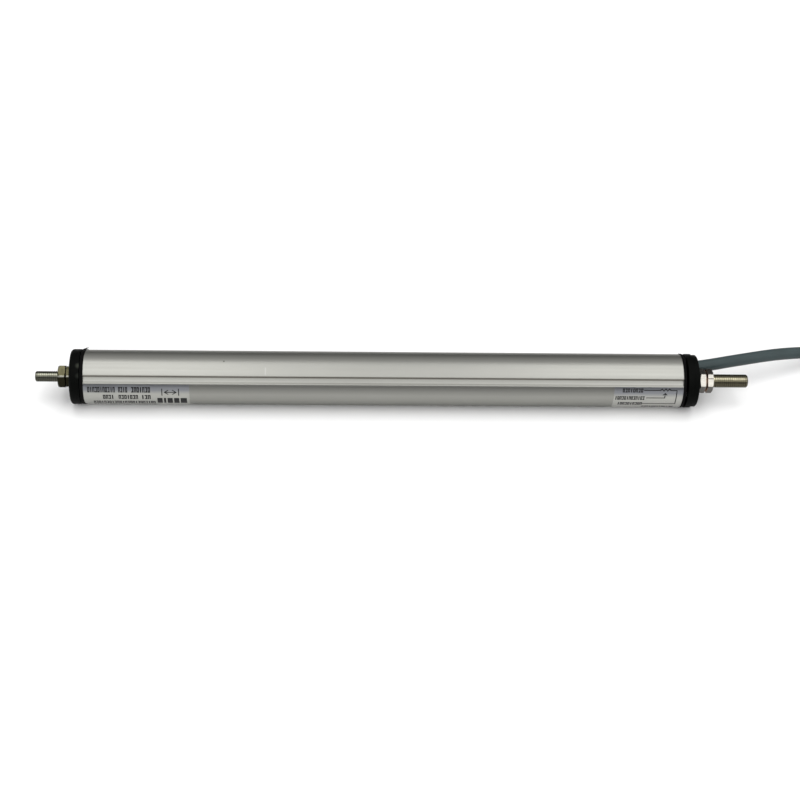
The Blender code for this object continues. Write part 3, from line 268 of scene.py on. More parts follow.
# Thin lines of print as points (x, angle), and filled blocks as (x, x, angle, angle)
PRINT_LINES = {
    "left": (
        ((-85.0, 173.5), (-80.9, 173.5)),
        ((-83.8, 168.5), (-85.1, 173.5), (-83.8, 178.5)),
        ((-82.1, 168.5), (-80.8, 173.5), (-82.1, 178.5)),
        ((-86.0, 165.5), (-86.0, 181.5)),
        ((-79.9, 165.5), (-79.9, 181.5)),
    ),
    "right": (
        (
            (92.2, 161.6), (98.3, 161.6), (98.8, 158.0), (99.5, 162.8), (100.2, 158.0),
            (100.9, 162.8), (101.6, 158.0), (102.1, 161.4), (104.4, 161.4), (104.4, 198.6),
            (91.9, 198.6),
        ),
        ((93.3, 180.2), (100.1, 180.2), (100.1, 168.8)),
        ((99.4, 172.4), (100.1, 168.4), (100.8, 172.4)),
    ),
}
PRINT_BLOCKS = {
    "left": (
        (-87.8, -85.9, 189.5, 210.0), (-85.4, -84.6, 189.5, 210.0),
        (-84.1, -82.2, 189.5, 210.0), (-81.7, -79.8, 189.5, 210.0),
        (-79.3, -77.0, 189.5, 210.0),
    ),
    "right": (),
}


def linear(code):
    """An sRGB hex colour as linear red, green, blue and alpha."""
    parts = [int(code[i:i + 2], 16) / 255 for i in (1, 3, 5)]
    flat = [c / 12.92 if c <= 0.04045 else ((c + 0.055) / 1.055) ** 2.4 for c in parts]
    return (*flat, 1.0)


def colour_property(name, description, code):
    return bpy.props.FloatVectorProperty(
        name=name, description=description, subtype="COLOR", size=4, min=0.0, max=1.0,
        default=linear(code),
    )


def length_property(name, description, value):
    return bpy.props.FloatProperty(
        name=name, description=description, unit="LENGTH", precision=5, min=0.0, default=value,
    )


class SensorSizes(bpy.types.PropertyGroup):
    """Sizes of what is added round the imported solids."""

    rod_pitch: length_property("Rod thread pitch", "Distance between the rod's threads", 0.7 * MM)
    stud_pitch: length_property("Stud thread pitch", "Distance between the stud's threads", 0.8 * MM)
    tip_edge: length_property("Tip edge", "Rounding of the rod's and stud's tips", 0.85 * MM)
    nut_edge: length_property("Nut edge", "Rounding of the nuts' edges", 0.2 * MM)
    cap_edge: length_property("Cap edge", "Rounding of the moulded caps' edges", 0.15 * MM)
    tube_edge: length_property("Tube edge", "Rounding of the tube's cut edges", 0.08 * MM)
    label_thickness: length_property("Label thickness", "Foil and glue together", 0.07 * MM)
    ink_height: length_property("Ink height", "How far the print stands on the foil", 0.012 * MM)
    ink_width: length_property("Ink line", "Width of the print's thin lines", 0.34 * MM)


class SensorColours(bpy.types.PropertyGroup):
    """Colours of the finishes, as they show in plain light."""

    tube: colour_property("Tube", "Clear anodised aluminium", "#8D8D88")
    foil: colour_property("Label foil", "Brushed silver polyester foil", "#A2A29D")
    ink: colour_property("Print", "Black label ink", "#0E0F11")
    cap: colour_property("Caps", "Black glass-filled polyamide", "#050605")
    rubber: colour_property("Rubber", "Black nitrile rubber", "#070707")
    nickel: colour_property("Stud nuts", "Bright nickel-plated steel", "#BFBCB4")
    stud: colour_property("Stud", "Nickel-plated steel, tarnished brownish", "#6A6654")
    olive: colour_property("Rod nuts", "Olive-chromated steel", "#53503C")
    steel: colour_property("Rod", "Stainless steel rod", "#646459")
    sheath: colour_property("Cable", "Blue-grey PVC sheath", "#374243")
    tie: colour_property("Tie", "Black hook-and-loop strap", "#1E1E1E")
    floor: colour_property("Floor", "Pale studio floor", "#C8C8C8")


def sizes():
    return bpy.context.scene.sensor_sizes


def colours():
    return bpy.context.scene.sensor_colours


# Selecting and shaping in edit mode

def begin():
    """Leaves edit mode and selects nothing, so that the next primitive stands alone."""
    if bpy.context.object and bpy.context.object.mode != "OBJECT":
        bpy.ops.object.mode_set(mode="OBJECT")
    bpy.ops.object.select_all(action="DESELECT")


def make_active(piece):
    begin()
    piece.select_set(True)
    bpy.context.view_layer.objects.active = piece
    return piece


def edit(piece):
    make_active(piece)
    bpy.ops.object.mode_set(mode="EDIT")
    bpy.ops.mesh.select_mode(type="VERT")
    bpy.ops.mesh.select_all(action="SELECT")


def leave():
    bpy.ops.object.mode_set(mode="OBJECT")


def push(piece, test, shift):
    """Selects the points whose place passes the test, and moves them."""
    edit(piece)
    bpy.ops.mesh.select_all(action="DESELECT")
    shape = bmesh.from_edit_mesh(piece.data)
    for vert in shape.verts:
        if test(vert.co):
            vert.select_set(True)
    shape.select_flush_mode()
    bmesh.update_edit_mesh(piece.data)
    bpy.ops.transform.translate(value=shift)
    leave()


def apply_modifier(piece, kind, **settings):
    make_active(piece)
    step = piece.modifiers.new(kind.lower(), kind)
    for name, value in settings.items():
        setattr(step, name, value)
    bpy.ops.object.modifier_apply(modifier=step.name)


def shade(piece, angle=SMOOTH_ANGLE):
    make_active(piece)
    bpy.ops.object.shade_smooth_by_angle(angle=angle)


def add_object(name, data):
    piece = bpy.data.objects.new(name, data)
    bpy.context.scene.collection.objects.link(piece)
    return piece


def copy_of(node, name):
    """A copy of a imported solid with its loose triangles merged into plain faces."""
    piece = add_object(name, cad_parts[node].data.copy())
    make_active(piece)
    bpy.ops.mesh.customdata_custom_splitnormals_clear()
    edit(piece)
    bpy.ops.mesh.remove_doubles(threshold=MERGE)
    bpy.ops.mesh.dissolve_limited(angle_limit=math.radians(0.6))
    leave()
    return piece


def soften(piece, width):
    """Rounds the sharp edges of a piece by a small width."""
    apply_modifier(
        piece, "BEVEL", width=width, segments=2, limit_method="ANGLE",
        angle_limit=math.radians(28), use_clamp_overlap=True, miter_outer="MITER_ARC",
    )
    shade(piece)
    # Keeps the wide faces flat up to their rounded edges
    apply_modifier(piece, "WEIGHTED_NORMAL", keep_sharp=True, weight=80)


def join(first, *others):
    make_active(first)
    for other in others:
        other.select_set(True)
    bpy.ops.object.join()
    return first


def finish(piece, material, body, nodes=()):
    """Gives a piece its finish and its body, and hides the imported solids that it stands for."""
    piece.data.materials.clear()
    piece.data.materials.append(material)
    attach(piece, body)
    if nodes:
        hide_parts(*nodes)
    return piece


def drawn_line(name, points):
    """A mesh line through the points: a plane shrunk to its middle, then extruded point by point."""
    begin()
    bpy.ops.mesh.primitive_plane_add(size=MM, location=points[0])
    piece = bpy.context.object
    piece.name = name
    bpy.ops.object.transform_apply(location=True, rotation=True, scale=True)
    edit(piece)
    bpy.ops.mesh.merge(type="CENTER")
    for here, there in zip(points, points[1:]):
        step = Vector(there) - Vector(here)
        bpy.ops.mesh.extrude_region_move(TRANSFORM_OT_translate={"value": step})
    leave()
    return piece


def turned(name, profile, steps=48):
    """A turned solid round the sensor's axis from (x, radius) points that start and end on it."""
    piece = drawn_line(name, [(x, 0.0, AXIS_HEIGHT + radius) for x, radius in profile])
    edit(piece)
    bpy.ops.mesh.spin(
        steps=steps, angle=2 * math.pi, center=(0, 0, AXIS_HEIGHT), axis=(1, 0, 0),
        use_auto_merge=True,
    )
    bpy.ops.mesh.select_all(action="SELECT")
    bpy.ops.mesh.remove_doubles(threshold=MERGE)
    bpy.ops.mesh.normals_make_consistent(inside=False)
    leave()
    return piece


# Materials

def add_node(tree, kind, links=None, **settings):
    """Adds a node, sets its own settings, and fills or links its inputs by name or number."""
    node = tree.nodes.new("ShaderNode" + kind)
    for name, value in settings.items():
        setattr(node, name, value)
    for key, value in (links or {}).items():
        if isinstance(value, bpy.types.NodeSocket):
            tree.links.new(value, node.inputs[key])
        else:
            node.inputs[key].default_value = value
    return node


def new_material(name, colour, roughness, metallic=0.0, sockets=None):
    """A material whose uniform values stand on the shader's own sockets."""
    material = bpy.data.materials.new(name)
    material.use_nodes = True
    values = {"Base Color": colour, "Roughness": roughness, "Metallic": metallic}
    for key, value in {**values, **(sockets or {})}.items():
        shader_of(material).inputs[key].default_value = value
    return material, material.node_tree


def shader_of(material):
    return material.node_tree.nodes["Principled BSDF"]


def pattern(tree, scale, detail=2.0):
    """Noise on the piece's own coordinates; scale is grains per metre along x, y and z."""
    here = add_node(tree, "TexCoord").outputs["Object"]
    mapped = add_node(tree, "Mapping", {"Vector": here, "Scale": scale}).outputs["Vector"]
    return add_node(
        tree, "TexNoise", {"Vector": mapped, "Scale": 1.0, "Detail": detail},
    ).outputs["Fac"]


def spread_between(tree, value, low, high, start=0.3, stop=0.7):
    """The value's middle range spread over low to high."""
    return add_node(tree, "MapRange", {
        "Value": value, "From Min": start, "From Max": stop, "To Min": low, "To Max": high,
    }).outputs["Result"]


def shaded(colour, factor):
    """The colour at a share of its brightness."""
    return (*(part * factor for part in colour[:3]), 1.0)


def laid_over(tree, share, under, over):
    """The under colour, going to the over colour where share is high."""
    return add_node(tree, "Mix", {0: share, 6: under, 7: over}, data_type="RGBA").outputs[2]


def tinted(tree, colour, share, darker):
    """The colour, going to a darker one where share is high."""
    return laid_over(tree, share, colour, shaded(colour, darker))


def where_both(tree, first, second):
    """High only where both shares are high."""
    return add_node(tree, "Math", {0: first, 1: second}, operation="MULTIPLY").outputs[0]


def painted(material, colour=None, roughness=None, height=None, distance=0.0, strength=0.5):
    """The material with patterns led to its colour and roughness, and a height as its bump."""
    tree = material.node_tree
    normal = None
    if height is not None:
        links = {"Height": height, "Distance": distance, "Strength": strength}
        normal = add_node(tree, "Bump", links).outputs["Normal"]
    for key, value in (("Base Color", colour), ("Roughness", roughness), ("Normal", normal)):
        if value is not None:
            tree.links.new(value, shader_of(material).inputs[key])
    return material


def place_on_piece(tree):
    """The place on the piece, as X, Y and Z."""
    here = add_node(tree, "TexCoord").outputs["Object"]
    return add_node(tree, "SeparateXYZ", {"Vector": here}).outputs


def spot(tree, x, angle, distance, radius):
    """1 at a place at the angle round the axis, falling to 0 at the radius."""
    turn = math.radians(angle)
    place = (x, distance * math.cos(turn), AXIS_HEIGHT + distance * math.sin(turn))
    here = add_node(tree, "TexCoord").outputs["Object"]
    away = add_node(tree, "VectorMath", {0: here, 1: place}, operation="DISTANCE")
    return spread_between(tree, away.outputs["Value"], 1.0, 0.0, radius * 0.25, radius)


def apart(tree, value, middle):
    """How far the value lies from a middle one, to either side."""
    away = add_node(tree, "Math", {0: value, 1: middle}, operation="SUBTRACT").outputs[0]
    return add_node(tree, "Math", {0: away}, operation="ABSOLUTE").outputs[0]


def angle_round(tree):
    """The angle round the sensor's axis, in radians from 0 to 2 pi."""
    place = place_on_piece(tree)
    height = add_node(tree, "Math", {0: place["Z"], 1: AXIS_HEIGHT}, operation="SUBTRACT")
    turn = add_node(tree, "Math", {0: height.outputs[0], 1: place["Y"]}, operation="ARCTAN2")
    return add_node(
        tree, "Math", {0: turn.outputs[0], 1: 2 * math.pi}, operation="FLOORED_MODULO",
    ).outputs[0]


def line_along(tree, middle, width):
    """1 on a line along the sensor, 0 elsewhere; middle and width are degrees round the axis."""
    away = apart(tree, angle_round(tree), math.radians(middle))
    span = math.radians(width)
    return spread_between(tree, away, 1.0, 0.0, span * 0.35, span * 0.65)


def away_from(tree, x):
    """The distance along the axis from x."""
    return apart(tree, place_on_piece(tree)["X"], x)


def ring_at(tree, x, half_width):
    """1 on a ring round the axis at x, falling to 0 at half its width."""
    return spread_between(tree, away_from(tree, x), 1.0, 0.0, half_width * 0.5, half_width)


def within(tree, distance, reach):
    """1 where the distance is less than the reach, 0 elsewhere."""
    return add_node(tree, "Math", {0: distance, 1: reach}, operation="LESS_THAN").outputs[0]


def off_lit_flat(tree, lit_flat_angle):
    """0 on the nut's lit flat at the angle round the axis, 1 on its other flats, which get painted
    shade.
    """
    outwards = add_node(tree, "TexCoord").outputs["Object"]
    for operation, by in (
        ("SUBTRACT", (0.0, 0.0, AXIS_HEIGHT)), ("MULTIPLY", (0.0, 1.0, 1.0)),
        ("NORMALIZE", (0.0, 0.0, 0.0)),
    ):
        step = add_node(tree, "VectorMath", {0: outwards, 1: by}, operation=operation)
        outwards = step.outputs["Vector"]
    turn = math.radians(lit_flat_angle)
    facing = add_node(
        tree, "VectorMath", {0: outwards, 1: (0.0, math.cos(turn), math.sin(turn))},
        operation="DOT_PRODUCT",
    ).outputs["Value"]
    outside, inside = (math.cos(math.radians(angle)) for angle in FLAT_EDGE)
    return spread_between(tree, facing, 1.0, 0.0, outside, inside)


def anodised_aluminium():
    """Extruded, etched and clear anodised: satin, with faint lines along the extrusion."""
    colour = colours().tube
    material, tree = new_material(
        "anodised_aluminium", colour, 0.33, 0.88, {"Specular Tint": (0.6, 0.6, 0.6, 1.0)},
    )
    # Die lines lie about 0.1 mm apart and are drawn 0.4 mm apart, the finest that shows
    lines = pattern(tree, (12.0, 2500.0, 2500.0), 3.0)
    clouds = spread_between(tree, pattern(tree, (40.0, 120.0, 120.0)), 0.0, 0.5)
    look = tinted(tree, colour, clouds, 0.93)
    # A painted dark reflection below the clamp groove
    rise_from, rise_to, fall_from, fall_to = (math.radians(angle) for angle in BELOW_GROOVE_SHADE_ANGLES)
    angle = angle_round(tree)
    groove_shade = where_both(
        tree, spread_between(tree, angle, 0.0, 1.0, rise_from, rise_to),
        spread_between(tree, angle, 1.0, 0.0, fall_from, fall_to),
    )
    look = laid_over(tree, groove_shade, look, shaded(colour, BELOW_GROOVE_SHADE))
    # Painted shade in the groove's corners, the lower one fainter
    for angle, width, corner_shade in GROOVE_CORNER_SHADES:
        look = laid_over(tree, line_along(tree, angle, width), look, linear(corner_shade))
    # A pit in the coating, and a light scratch across the top
    x, angle, radius, pit = TUBE_SPECK
    look = laid_over(tree, spot(tree, x, angle, TUBE_RADIUS, radius), look, linear(pit))
    x, half_width, start, stop, bare = TUBE_SCRATCH
    scratch = where_both(
        tree, ring_at(tree, x, half_width), line_along(tree, (start + stop) / 2, stop - start),
    )
    look = laid_over(tree, scratch, look, linear(bare))
    return painted(material, look, spread_between(tree, lines, 0.30, 0.37), lines, 0.0015 * MM)


def label_foil():
    """Silver polyester foil: smoother than the tube, with an even haze."""
    colour = colours().foil
    material, tree = new_material("polyester_label_foil", colour, 0.3, 1.0)
    haze = pattern(tree, (150.0, 400.0, 400.0))
    plain = tinted(tree, colour, spread_between(tree, haze, 0.0, 0.6), 0.92)
    # A painted dark reflection, a little darker and bluer, lies behind the first row of print
    start, stop = LABEL_SHADE_BAND
    label_shade = line_along(tree, (start + stop) / 2, stop - start)
    return painted(
        material, laid_over(tree, label_shade, plain, linear(LABEL_SHADE_COLOUR)),
        spread_between(tree, haze, 0.27, 0.33),
    )


def label_ink():
    """Thermal-transfer ink: flat black that thins a little in places."""
    colour = colours().ink
    material, tree = new_material(
        "thermal_transfer_ink", colour, 0.5, 0.0, {"Specular IOR Level": 0.2},
    )
    return painted(material, tinted(tree, colour, pattern(tree, (5000.0,) * 3, 1.0), 0.5))


def moulded_black():
    """Glass-filled polyamide, injection moulded: a fine dull grain with a soft sheen."""
    look = colours().cap
    material, tree = new_material(
        "glass_filled_polyamide", look, 0.5, 0.0, {"Specular IOR Level": 0.03},
    )
    # Two smudges of handling dust near the cap's edge
    for x, angle, radius, dust in CAP_SMUDGES:
        look = laid_over(tree, spot(tree, x, angle, CAP_RADIUS, radius), look, linear(dust))
    # Mould grain of about 0.2 mm
    grain = pattern(tree, (5000.0,) * 3)
    wear = spread_between(tree, pattern(tree, (300.0,) * 3, 3.0), 0.42, 0.6)
    return painted(material, look, wear, grain, 0.01 * MM, 0.4)


def black_rubber():
    """Nitrile rubber: matt, slightly powdery."""
    material, tree = new_material(
        "nitrile_rubber", colours().rubber, 0.75, 0.0, {"Specular IOR Level": 0.05},
    )
    dust = pattern(tree, (1500.0,) * 3, 3.0)
    return painted(material, None, spread_between(tree, dust, 0.65, 0.85), dust, 0.01 * MM)


def plated_steel(name, colour, roughness, spacing):
    """Turned metal: fine lines round the axis, more or less dull in patches."""
    material, tree = new_material(name, colour, roughness, 1.0)
    lines = pattern(tree, (1.0 / spacing, 60.0, 60.0))
    patches = pattern(tree, (700.0,) * 3, 3.0)
    return painted(
        material, tinted(tree, colour, spread_between(tree, patches, 0.0, 1.0), 0.8),
        spread_between(tree, patches, roughness - 0.05, roughness + 0.1), lines, 0.003 * MM, 0.4,
    )


def colour_so_far(material):
    """The material's node tree, and what is linked to its colour."""
    return material.node_tree, shader_of(material).inputs["Base Color"].links[0].from_socket


def nut_plating(name, colour, roughness, lit_flat_angle, flat_shade, corner_highlight=True, gap_shade_and_scratch=False):
    """Plated hexagon steel: one flat keeps the plating's colour as the lit flat, the others get
    painted shade.
    """
    material = plated_steel(name, colour, roughness, TURNED_LINES)
    tree, look = colour_so_far(material)
    # Painted shade on every flat but the lit one
    look = laid_over(tree, off_lit_flat(tree, lit_flat_angle), look, shaded(colour, flat_shade))
    if corner_highlight:
        # A painted highlight along the corner towards the front
        highlit_corner = line_along(tree, lit_flat_angle + FLAT_TO_CORNER, CORNER_HIGHLIGHT_WIDTH)
        look = laid_over(tree, highlit_corner, look, linear(CORNER_HIGHLIGHT))
    if gap_shade_and_scratch:
        # Brownish painted shade and reflection where the two nuts meet, and the outer nut has a
        # scratch on its flat
        look = laid_over(tree, ring_at(tree, NUT_GAP_X, NUT_GAP_SHADE_HALF_WIDTH), look, linear(NUT_GAP_SHADE))
        scratch = where_both(
            tree, line_along(tree, SCRATCH_ANGLE, SCRATCH_WIDTH),
            ring_at(tree, NUT_GAP_X + SCRATCH_HALF_LENGTH, SCRATCH_HALF_LENGTH),
        )
        look = laid_over(tree, scratch, look, linear(SCRATCH))
    return painted(material, look)


def painted_light_thread(name, colour, roughness, spacing, ends, painted_light):
    """Threaded steel: a painted highlight along its lit side, and painted shade on the rest of the
    thread.
    """
    material = plated_steel(name, colour, roughness, spacing)
    tree, look = colour_so_far(material)
    side, line, bright = painted_light
    start_x, end_x = ends
    thread_only = within(tree, away_from(tree, (start_x + end_x) / 2), (end_x - start_x) / 2)
    # Painted shade away from the lit side
    painted_shade_side = spread_between(tree, line_along(tree, *side), 1.0, 0.0, 0.0, 1.0)
    look = laid_over(tree, where_both(tree, painted_shade_side, thread_only), look, shaded(colour, THREAD_PAINTED_SHADE))
    # The painted highlight along the lit side
    painted_highlight = where_both(tree, line_along(tree, *line), thread_only)
    return painted(material, laid_over(tree, painted_highlight, look, linear(bright)))


def moulded(name, code, roughness, grain_size):
    """A plain moulded or sheathed plastic with its grain and faint mottling."""
    colour = linear(code)
    material, tree = new_material(name, colour, roughness)
    grain = pattern(tree, (1.0 / grain_size,) * 3)
    mottle = spread_between(tree, pattern(tree, (180.0,) * 3), 0.0, 1.0)
    return painted(
        material, tinted(tree, colour, mottle, 0.9),
        spread_between(tree, grain, roughness - 0.06, roughness + 0.08), grain, 0.004 * MM,
    )


def cable_sheath():
    """Extruded PVC: a dull skin with a soft broad highlight and slight waves over the cores."""
    colour = colours().sheath
    material, tree = new_material(
        "pvc_cable_sheath", colour, 0.42, 0.0, {"Specular IOR Level": 0.22},
    )
    skin = pattern(tree, (2500.0,) * 3)
    waves = spread_between(tree, pattern(tree, (90.0, 250.0, 250.0), 1.0), 0.0, 1.0)
    dull = spread_between(tree, skin, 0.36, 0.5)
    return painted(material, tinted(tree, colour, waves, 0.86), dull, skin, 0.006 * MM, 0.4)


def board_laminate():
    """Glass-epoxy laminate with two black conductive-plastic tracks along it."""
    colour = linear("#2F6B45")
    material, tree = new_material("glass_epoxy_laminate", colour, 0.4)
    turned_back = add_node(tree, "VectorRotate", {
        "Vector": add_node(tree, "TexCoord").outputs["Object"],
        "Center": (0.0, 0.0, AXIS_HEIGHT), "Angle": math.radians(-SECTION_ROLL),
    }, rotation_type="X_AXIS").outputs["Vector"]
    across = add_node(tree, "SeparateXYZ", {"Vector": turned_back}).outputs["Y"]
    from_track = apart(tree, apart(tree, across, 0.0), TRACK_SPREAD)
    weave = spread_between(tree, pattern(tree, (2000.0,) * 3, 1.0), 0.0, 0.6)
    return painted(material, laid_over(
        tree, within(tree, from_track, TRACK_HALF_WIDTH), tinted(tree, colour, weave, 0.8),
        linear("#151515"),
    ))


def strap():
    """Woven hook-and-loop strap: a cross-ribbed matt surface."""
    colour = colours().tie
    material, tree = new_material(
        "woven_polyamide_strap", colour, 0.85, 0.0, {"Sheen Weight": 0.3},
    )
    # Loops of about 0.5 mm
    loops = pattern(tree, (2000.0,) * 3)
    return painted(material, tinted(tree, colour, loops, 0.4), None, loops, 0.12 * MM, 0.9)


# The cable

def smooth_route(points, step):
    """Points along a smooth curve through the route's points, about one step apart."""
    route = [Vector(point) for point in points]
    padded = [2 * route[0] - route[1]] + route + [2 * route[-1] - route[-2]]
    result = [route[0]]
    for before, start, end, after in zip(padded, padded[1:], padded[2:], padded[3:]):
        pieces = max(1, round((end - start).length / step))
        for i in range(1, pieces + 1):
            t = i / pieces
            result.append(0.5 * (
                2 * start + (end - before) * t
                + (2 * before - 5 * start + 4 * end - after) * t ** 2
                + (3 * start - before - 3 * end + after) * t ** 3
            ))
    return result


def ease(share):
    share = max(0.0, min(1.0, share))
    return share * share * (3 - 2 * share)


def strand_half_width(x, fold, waist):
    """A strand's distance from the hank's middle line: wide at the folds, narrow at the tie."""
    along = 0.5 - 0.5 * math.cos(math.pi * min(1.0, abs(x) / HANK_HALF_RUN))
    return waist + (fold - waist) * along


def hank_point(x, y, layer):
    """A point of a strand, lifted where the tie passes below the hank."""
    lift = TIE_LIFT * (1 - ease((abs(x) - TIE_LIFT_FROM) / (TIE_LIFT_TO - TIE_LIFT_FROM)))
    return Vector((HANK_CENTRE[0] + x, HANK_CENTRE[1] + y, layer + lift))


def hank_run(side, start, stop, fold, waist, layer):
    """One straight pass of the hank, on its far side (1) or its near side (-1)."""
    along = [start + (stop - start) * i / RUN_STEPS for i in range(RUN_STEPS)]
    return [hank_point(x, side * strand_half_width(x, fold, waist), layer) for x in along]


def hank_fold(side, start, fold, next_fold, layer, next_layer):
    """The half circle round the hank's right end (1) or left end (-1)."""
    points = []
    for i in range(FOLD_STEPS):
        share = i / FOLD_STEPS
        angle = math.radians(start - 180 * share)
        radius = fold + (next_fold - fold) * ease(share / FOLD_SETTLED)
        height = layer + (next_layer - layer) * ease(share)
        x = side * HANK_HALF_RUN + radius * math.cos(angle)
        points.append(hank_point(x, radius * math.sin(angle), height))
    return points


def hank_points():
    """The whole winding, from the far left to the free end beside the tie."""
    turns = (
        (OUTER_FOLD, OUTER_WAIST, LOWER_LAYER), (INNER_FOLD, INNER_WAIST, LOWER_LAYER),
        (INNER_FOLD, INNER_WAIST, UPPER_LAYER), (OUTER_FOLD, OUTER_WAIST, UPPER_LAYER),
    )
    run = HANK_HALF_RUN
    points = []
    for number, (fold, waist, layer) in enumerate(turns):
        last = number == len(turns) - 1
        points += hank_run(1, -run, run, fold, waist, layer)
        points += hank_fold(1, 90, fold, fold, layer, layer)
        points += hank_run(-1, run, -CABLE_END if last else -run, fold, waist, layer)
        if not last:
            next_fold, _, next_layer = turns[number + 1]
            points += hank_fold(-1, 270, fold, next_fold, layer, next_layer)
    points.append(hank_point(-CABLE_END, -strand_half_width(CABLE_END, fold, waist), layer))
    return points


def round_wire(name, points, radius):
    data = bpy.data.curves.new(name, "CURVE")
    data.dimensions = "3D"
    spline = data.splines.new("POLY")
    spline.points.add(len(points) - 1)
    for place, point in zip(spline.points, points):
        place.co = (*point, 1.0)
    spline.use_smooth = True
    data.bevel_depth = radius
    data.bevel_resolution = 6
    data.use_fill_caps = True
    return add_object(name, data)


def make_cable():
    first = [(REAR_FACE_X + beyond, y, z) for beyond, y, z in CABLE_ROUTE]
    route = smooth_route(first + [tuple(p) for p in hank_points()], ROUTE_STEP)
    cable = finish(
        round_wire("signal_cable", route, CABLE_RADIUS), cable_sheath(), "housing",
        ("cable", "cable_hank"),
    )
    for name, code in CORE_COLOURS:
        insulation = moulded(f"pvc_core_{name}", code, 0.45, 0.4 * MM)
        for node in (f"core_{name}", f"lead_{name}"):
            repaint(node, insulation)
    repaint("hank_tie", strap())


def repaint(node, material):
    """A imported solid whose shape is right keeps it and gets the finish."""
    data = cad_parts[node].data
    data.materials.clear()
    data.materials.append(material)


# Tube, caps and gaskets

def round_axis(place):
    """Distance from the sensor's axis, and angle from the back over the top, in degrees."""
    height = place.z - AXIS_HEIGHT
    return math.hypot(place.y, height), math.degrees(math.atan2(height, place.y)) % 360


def squeezed_lip(name, end_x, inwards, squeezed):
    """Rubber pressed out between cap and tube, further at some angles than at others."""
    profile = [
        (-0.6, 9.85), (-0.55, 10.04), (-0.1, LIP_RADIUS), (0.05, LIP_RADIUS), (0.12, 9.99),
        (-0.1, 9.85), (-0.6, 9.85),
    ]
    points = [(end_x + inwards * along * MM, radius * MM) for along, radius in profile]
    lip = turned(name, points, LIP_STEPS)
    edge = end_x + inwards * 0.03 * MM
    for start, stop, further in squeezed:
        push(
            lip, lambda place: (
                (place.x - edge) * inwards > 0 and start <= round_axis(place)[1] < stop
            ), (inwards * further * MM, 0, 0),
        )
    shade(lip, math.radians(60))
    return lip


def make_housing():
    tube = copy_of("tube_body", "sensor_tube")
    soften(tube, sizes().tube_edge)
    finish(tube, anodised_aluminium(), "housing", ("tube_body",))
    black = moulded_black()
    for node, name in (("front_cap", "moulded_front_cap"), ("rear_cap", "moulded_rear_cap")):
        cap = copy_of(node, name)
        soften(cap, sizes().cap_edge)
        finish(cap, black, "housing", (node,))
    rubber = black_rubber()
    for node, end_x, inwards, squeezed, shift in (
        ("front_gasket", TUBE_FRONT_X, 1.0, FRONT_LIP, FRONT_NIB_SHIFT),
        ("rear_gasket", TUBE_REAR_X, -1.0, REAR_LIP, REAR_NIB_SHIFT),
    ):
        gasket = copy_of(node, f"rubber_{node}")
        # Lays the squeezed-out nib over the tube's edge
        push(gasket, lambda place: round_axis(place)[0] > NIB_FROM_RADIUS, shift)
        soften(gasket, sizes().cap_edge)
        lip = squeezed_lip(f"{node}_lip", end_x, inwards, squeezed)
        finish(join(gasket, lip), rubber, "housing", (node,))
    repaint("rod_seal", rubber)


# Labels: drawn flat and upright in front of the tube, then bent round it

def arc_height(angle):
    """Height on the flat drawing of a place round the tube; 0 is the tube's front line."""
    return math.radians(180.0 - angle) * TUBE_RADIUS


def flat_patch(name, middle, length, width, turn=0.0):
    """A flat upright rectangle: length runs along the turned direction."""
    begin()
    bpy.ops.mesh.primitive_plane_add(size=1.0)
    piece = bpy.context.object
    piece.name = name
    piece.scale = (length, width, 1.0)
    bpy.ops.object.transform_apply(location=False, rotation=False, scale=True)
    piece.rotation_euler = (math.pi / 2, -turn, 0.0)
    piece.location = (middle[0], 0.0, middle[1])
    bpy.ops.object.transform_apply(location=True, rotation=True, scale=False)
    return piece


def patch_copy(shape, middle, length, width):
    """A copy of a mark that was drawn 1 by 1 at the origin, at its own size and place."""
    piece = make_active(add_object("print_mark", shape.data.copy()))
    piece.scale = (length, 1.0, width)
    piece.location = (middle[0], 0.0, middle[1])
    bpy.ops.object.transform_apply(location=True, rotation=False, scale=True)
    return piece


def mark_shapes():
    """The print's four mark shapes, each 1 by 1 and centred, from (x, z, length, width)."""
    bars = {
        "i": ((0.0, 0.0, 0.5, 1.0),),
        "o": (
            (-0.3, 0.0, 0.4, 1.0), (0.3, 0.0, 0.4, 1.0), (0.0, 0.39, 0.4, 0.22),
            (0.0, -0.39, 0.4, 0.22),
        ),
        "u": ((-0.3, 0.0, 0.4, 1.0), (0.3, 0.0, 0.4, 1.0), (0.0, 0.39, 0.4, 0.22)),
        "=": ((0.0, 0.39, 1.0, 0.22), (0.0, -0.39, 1.0, 0.22), (0.16, 0.0, 0.46, 0.6)),
    }
    return {
        key: join(*(
            flat_patch("print_mark", (x, z), length, width) for x, z, length, width in parts
        ))
        for key, parts in bars.items()
    }


def print_row(shapes, start, stop, top, bottom, marks):
    """A row of print marks between two places along the tube and two round it."""
    pitch = (stop - start) * MM / len(marks)
    height = arc_height(top) - arc_height(bottom)
    middle = (arc_height(top) + arc_height(bottom)) / 2
    for number, key in enumerate(marks):
        place = (start * MM + (number + 0.5) * pitch, middle)
        yield patch_copy(shapes[key], place, pitch * MARK_SHARE, height)


def print_line(points):
    """A thin printed line through the points, with square ends that meet at its corners."""
    width = sizes().ink_width
    flat = [Vector((x * MM, arc_height(angle))) for x, angle in points]
    for here, there in zip(flat, flat[1:]):
        step = there - here
        yield flat_patch(
            "print_line", (here + there) / 2, step.length + width * LINE_OVERLAP, width,
            math.atan2(step.y, step.x),
        )


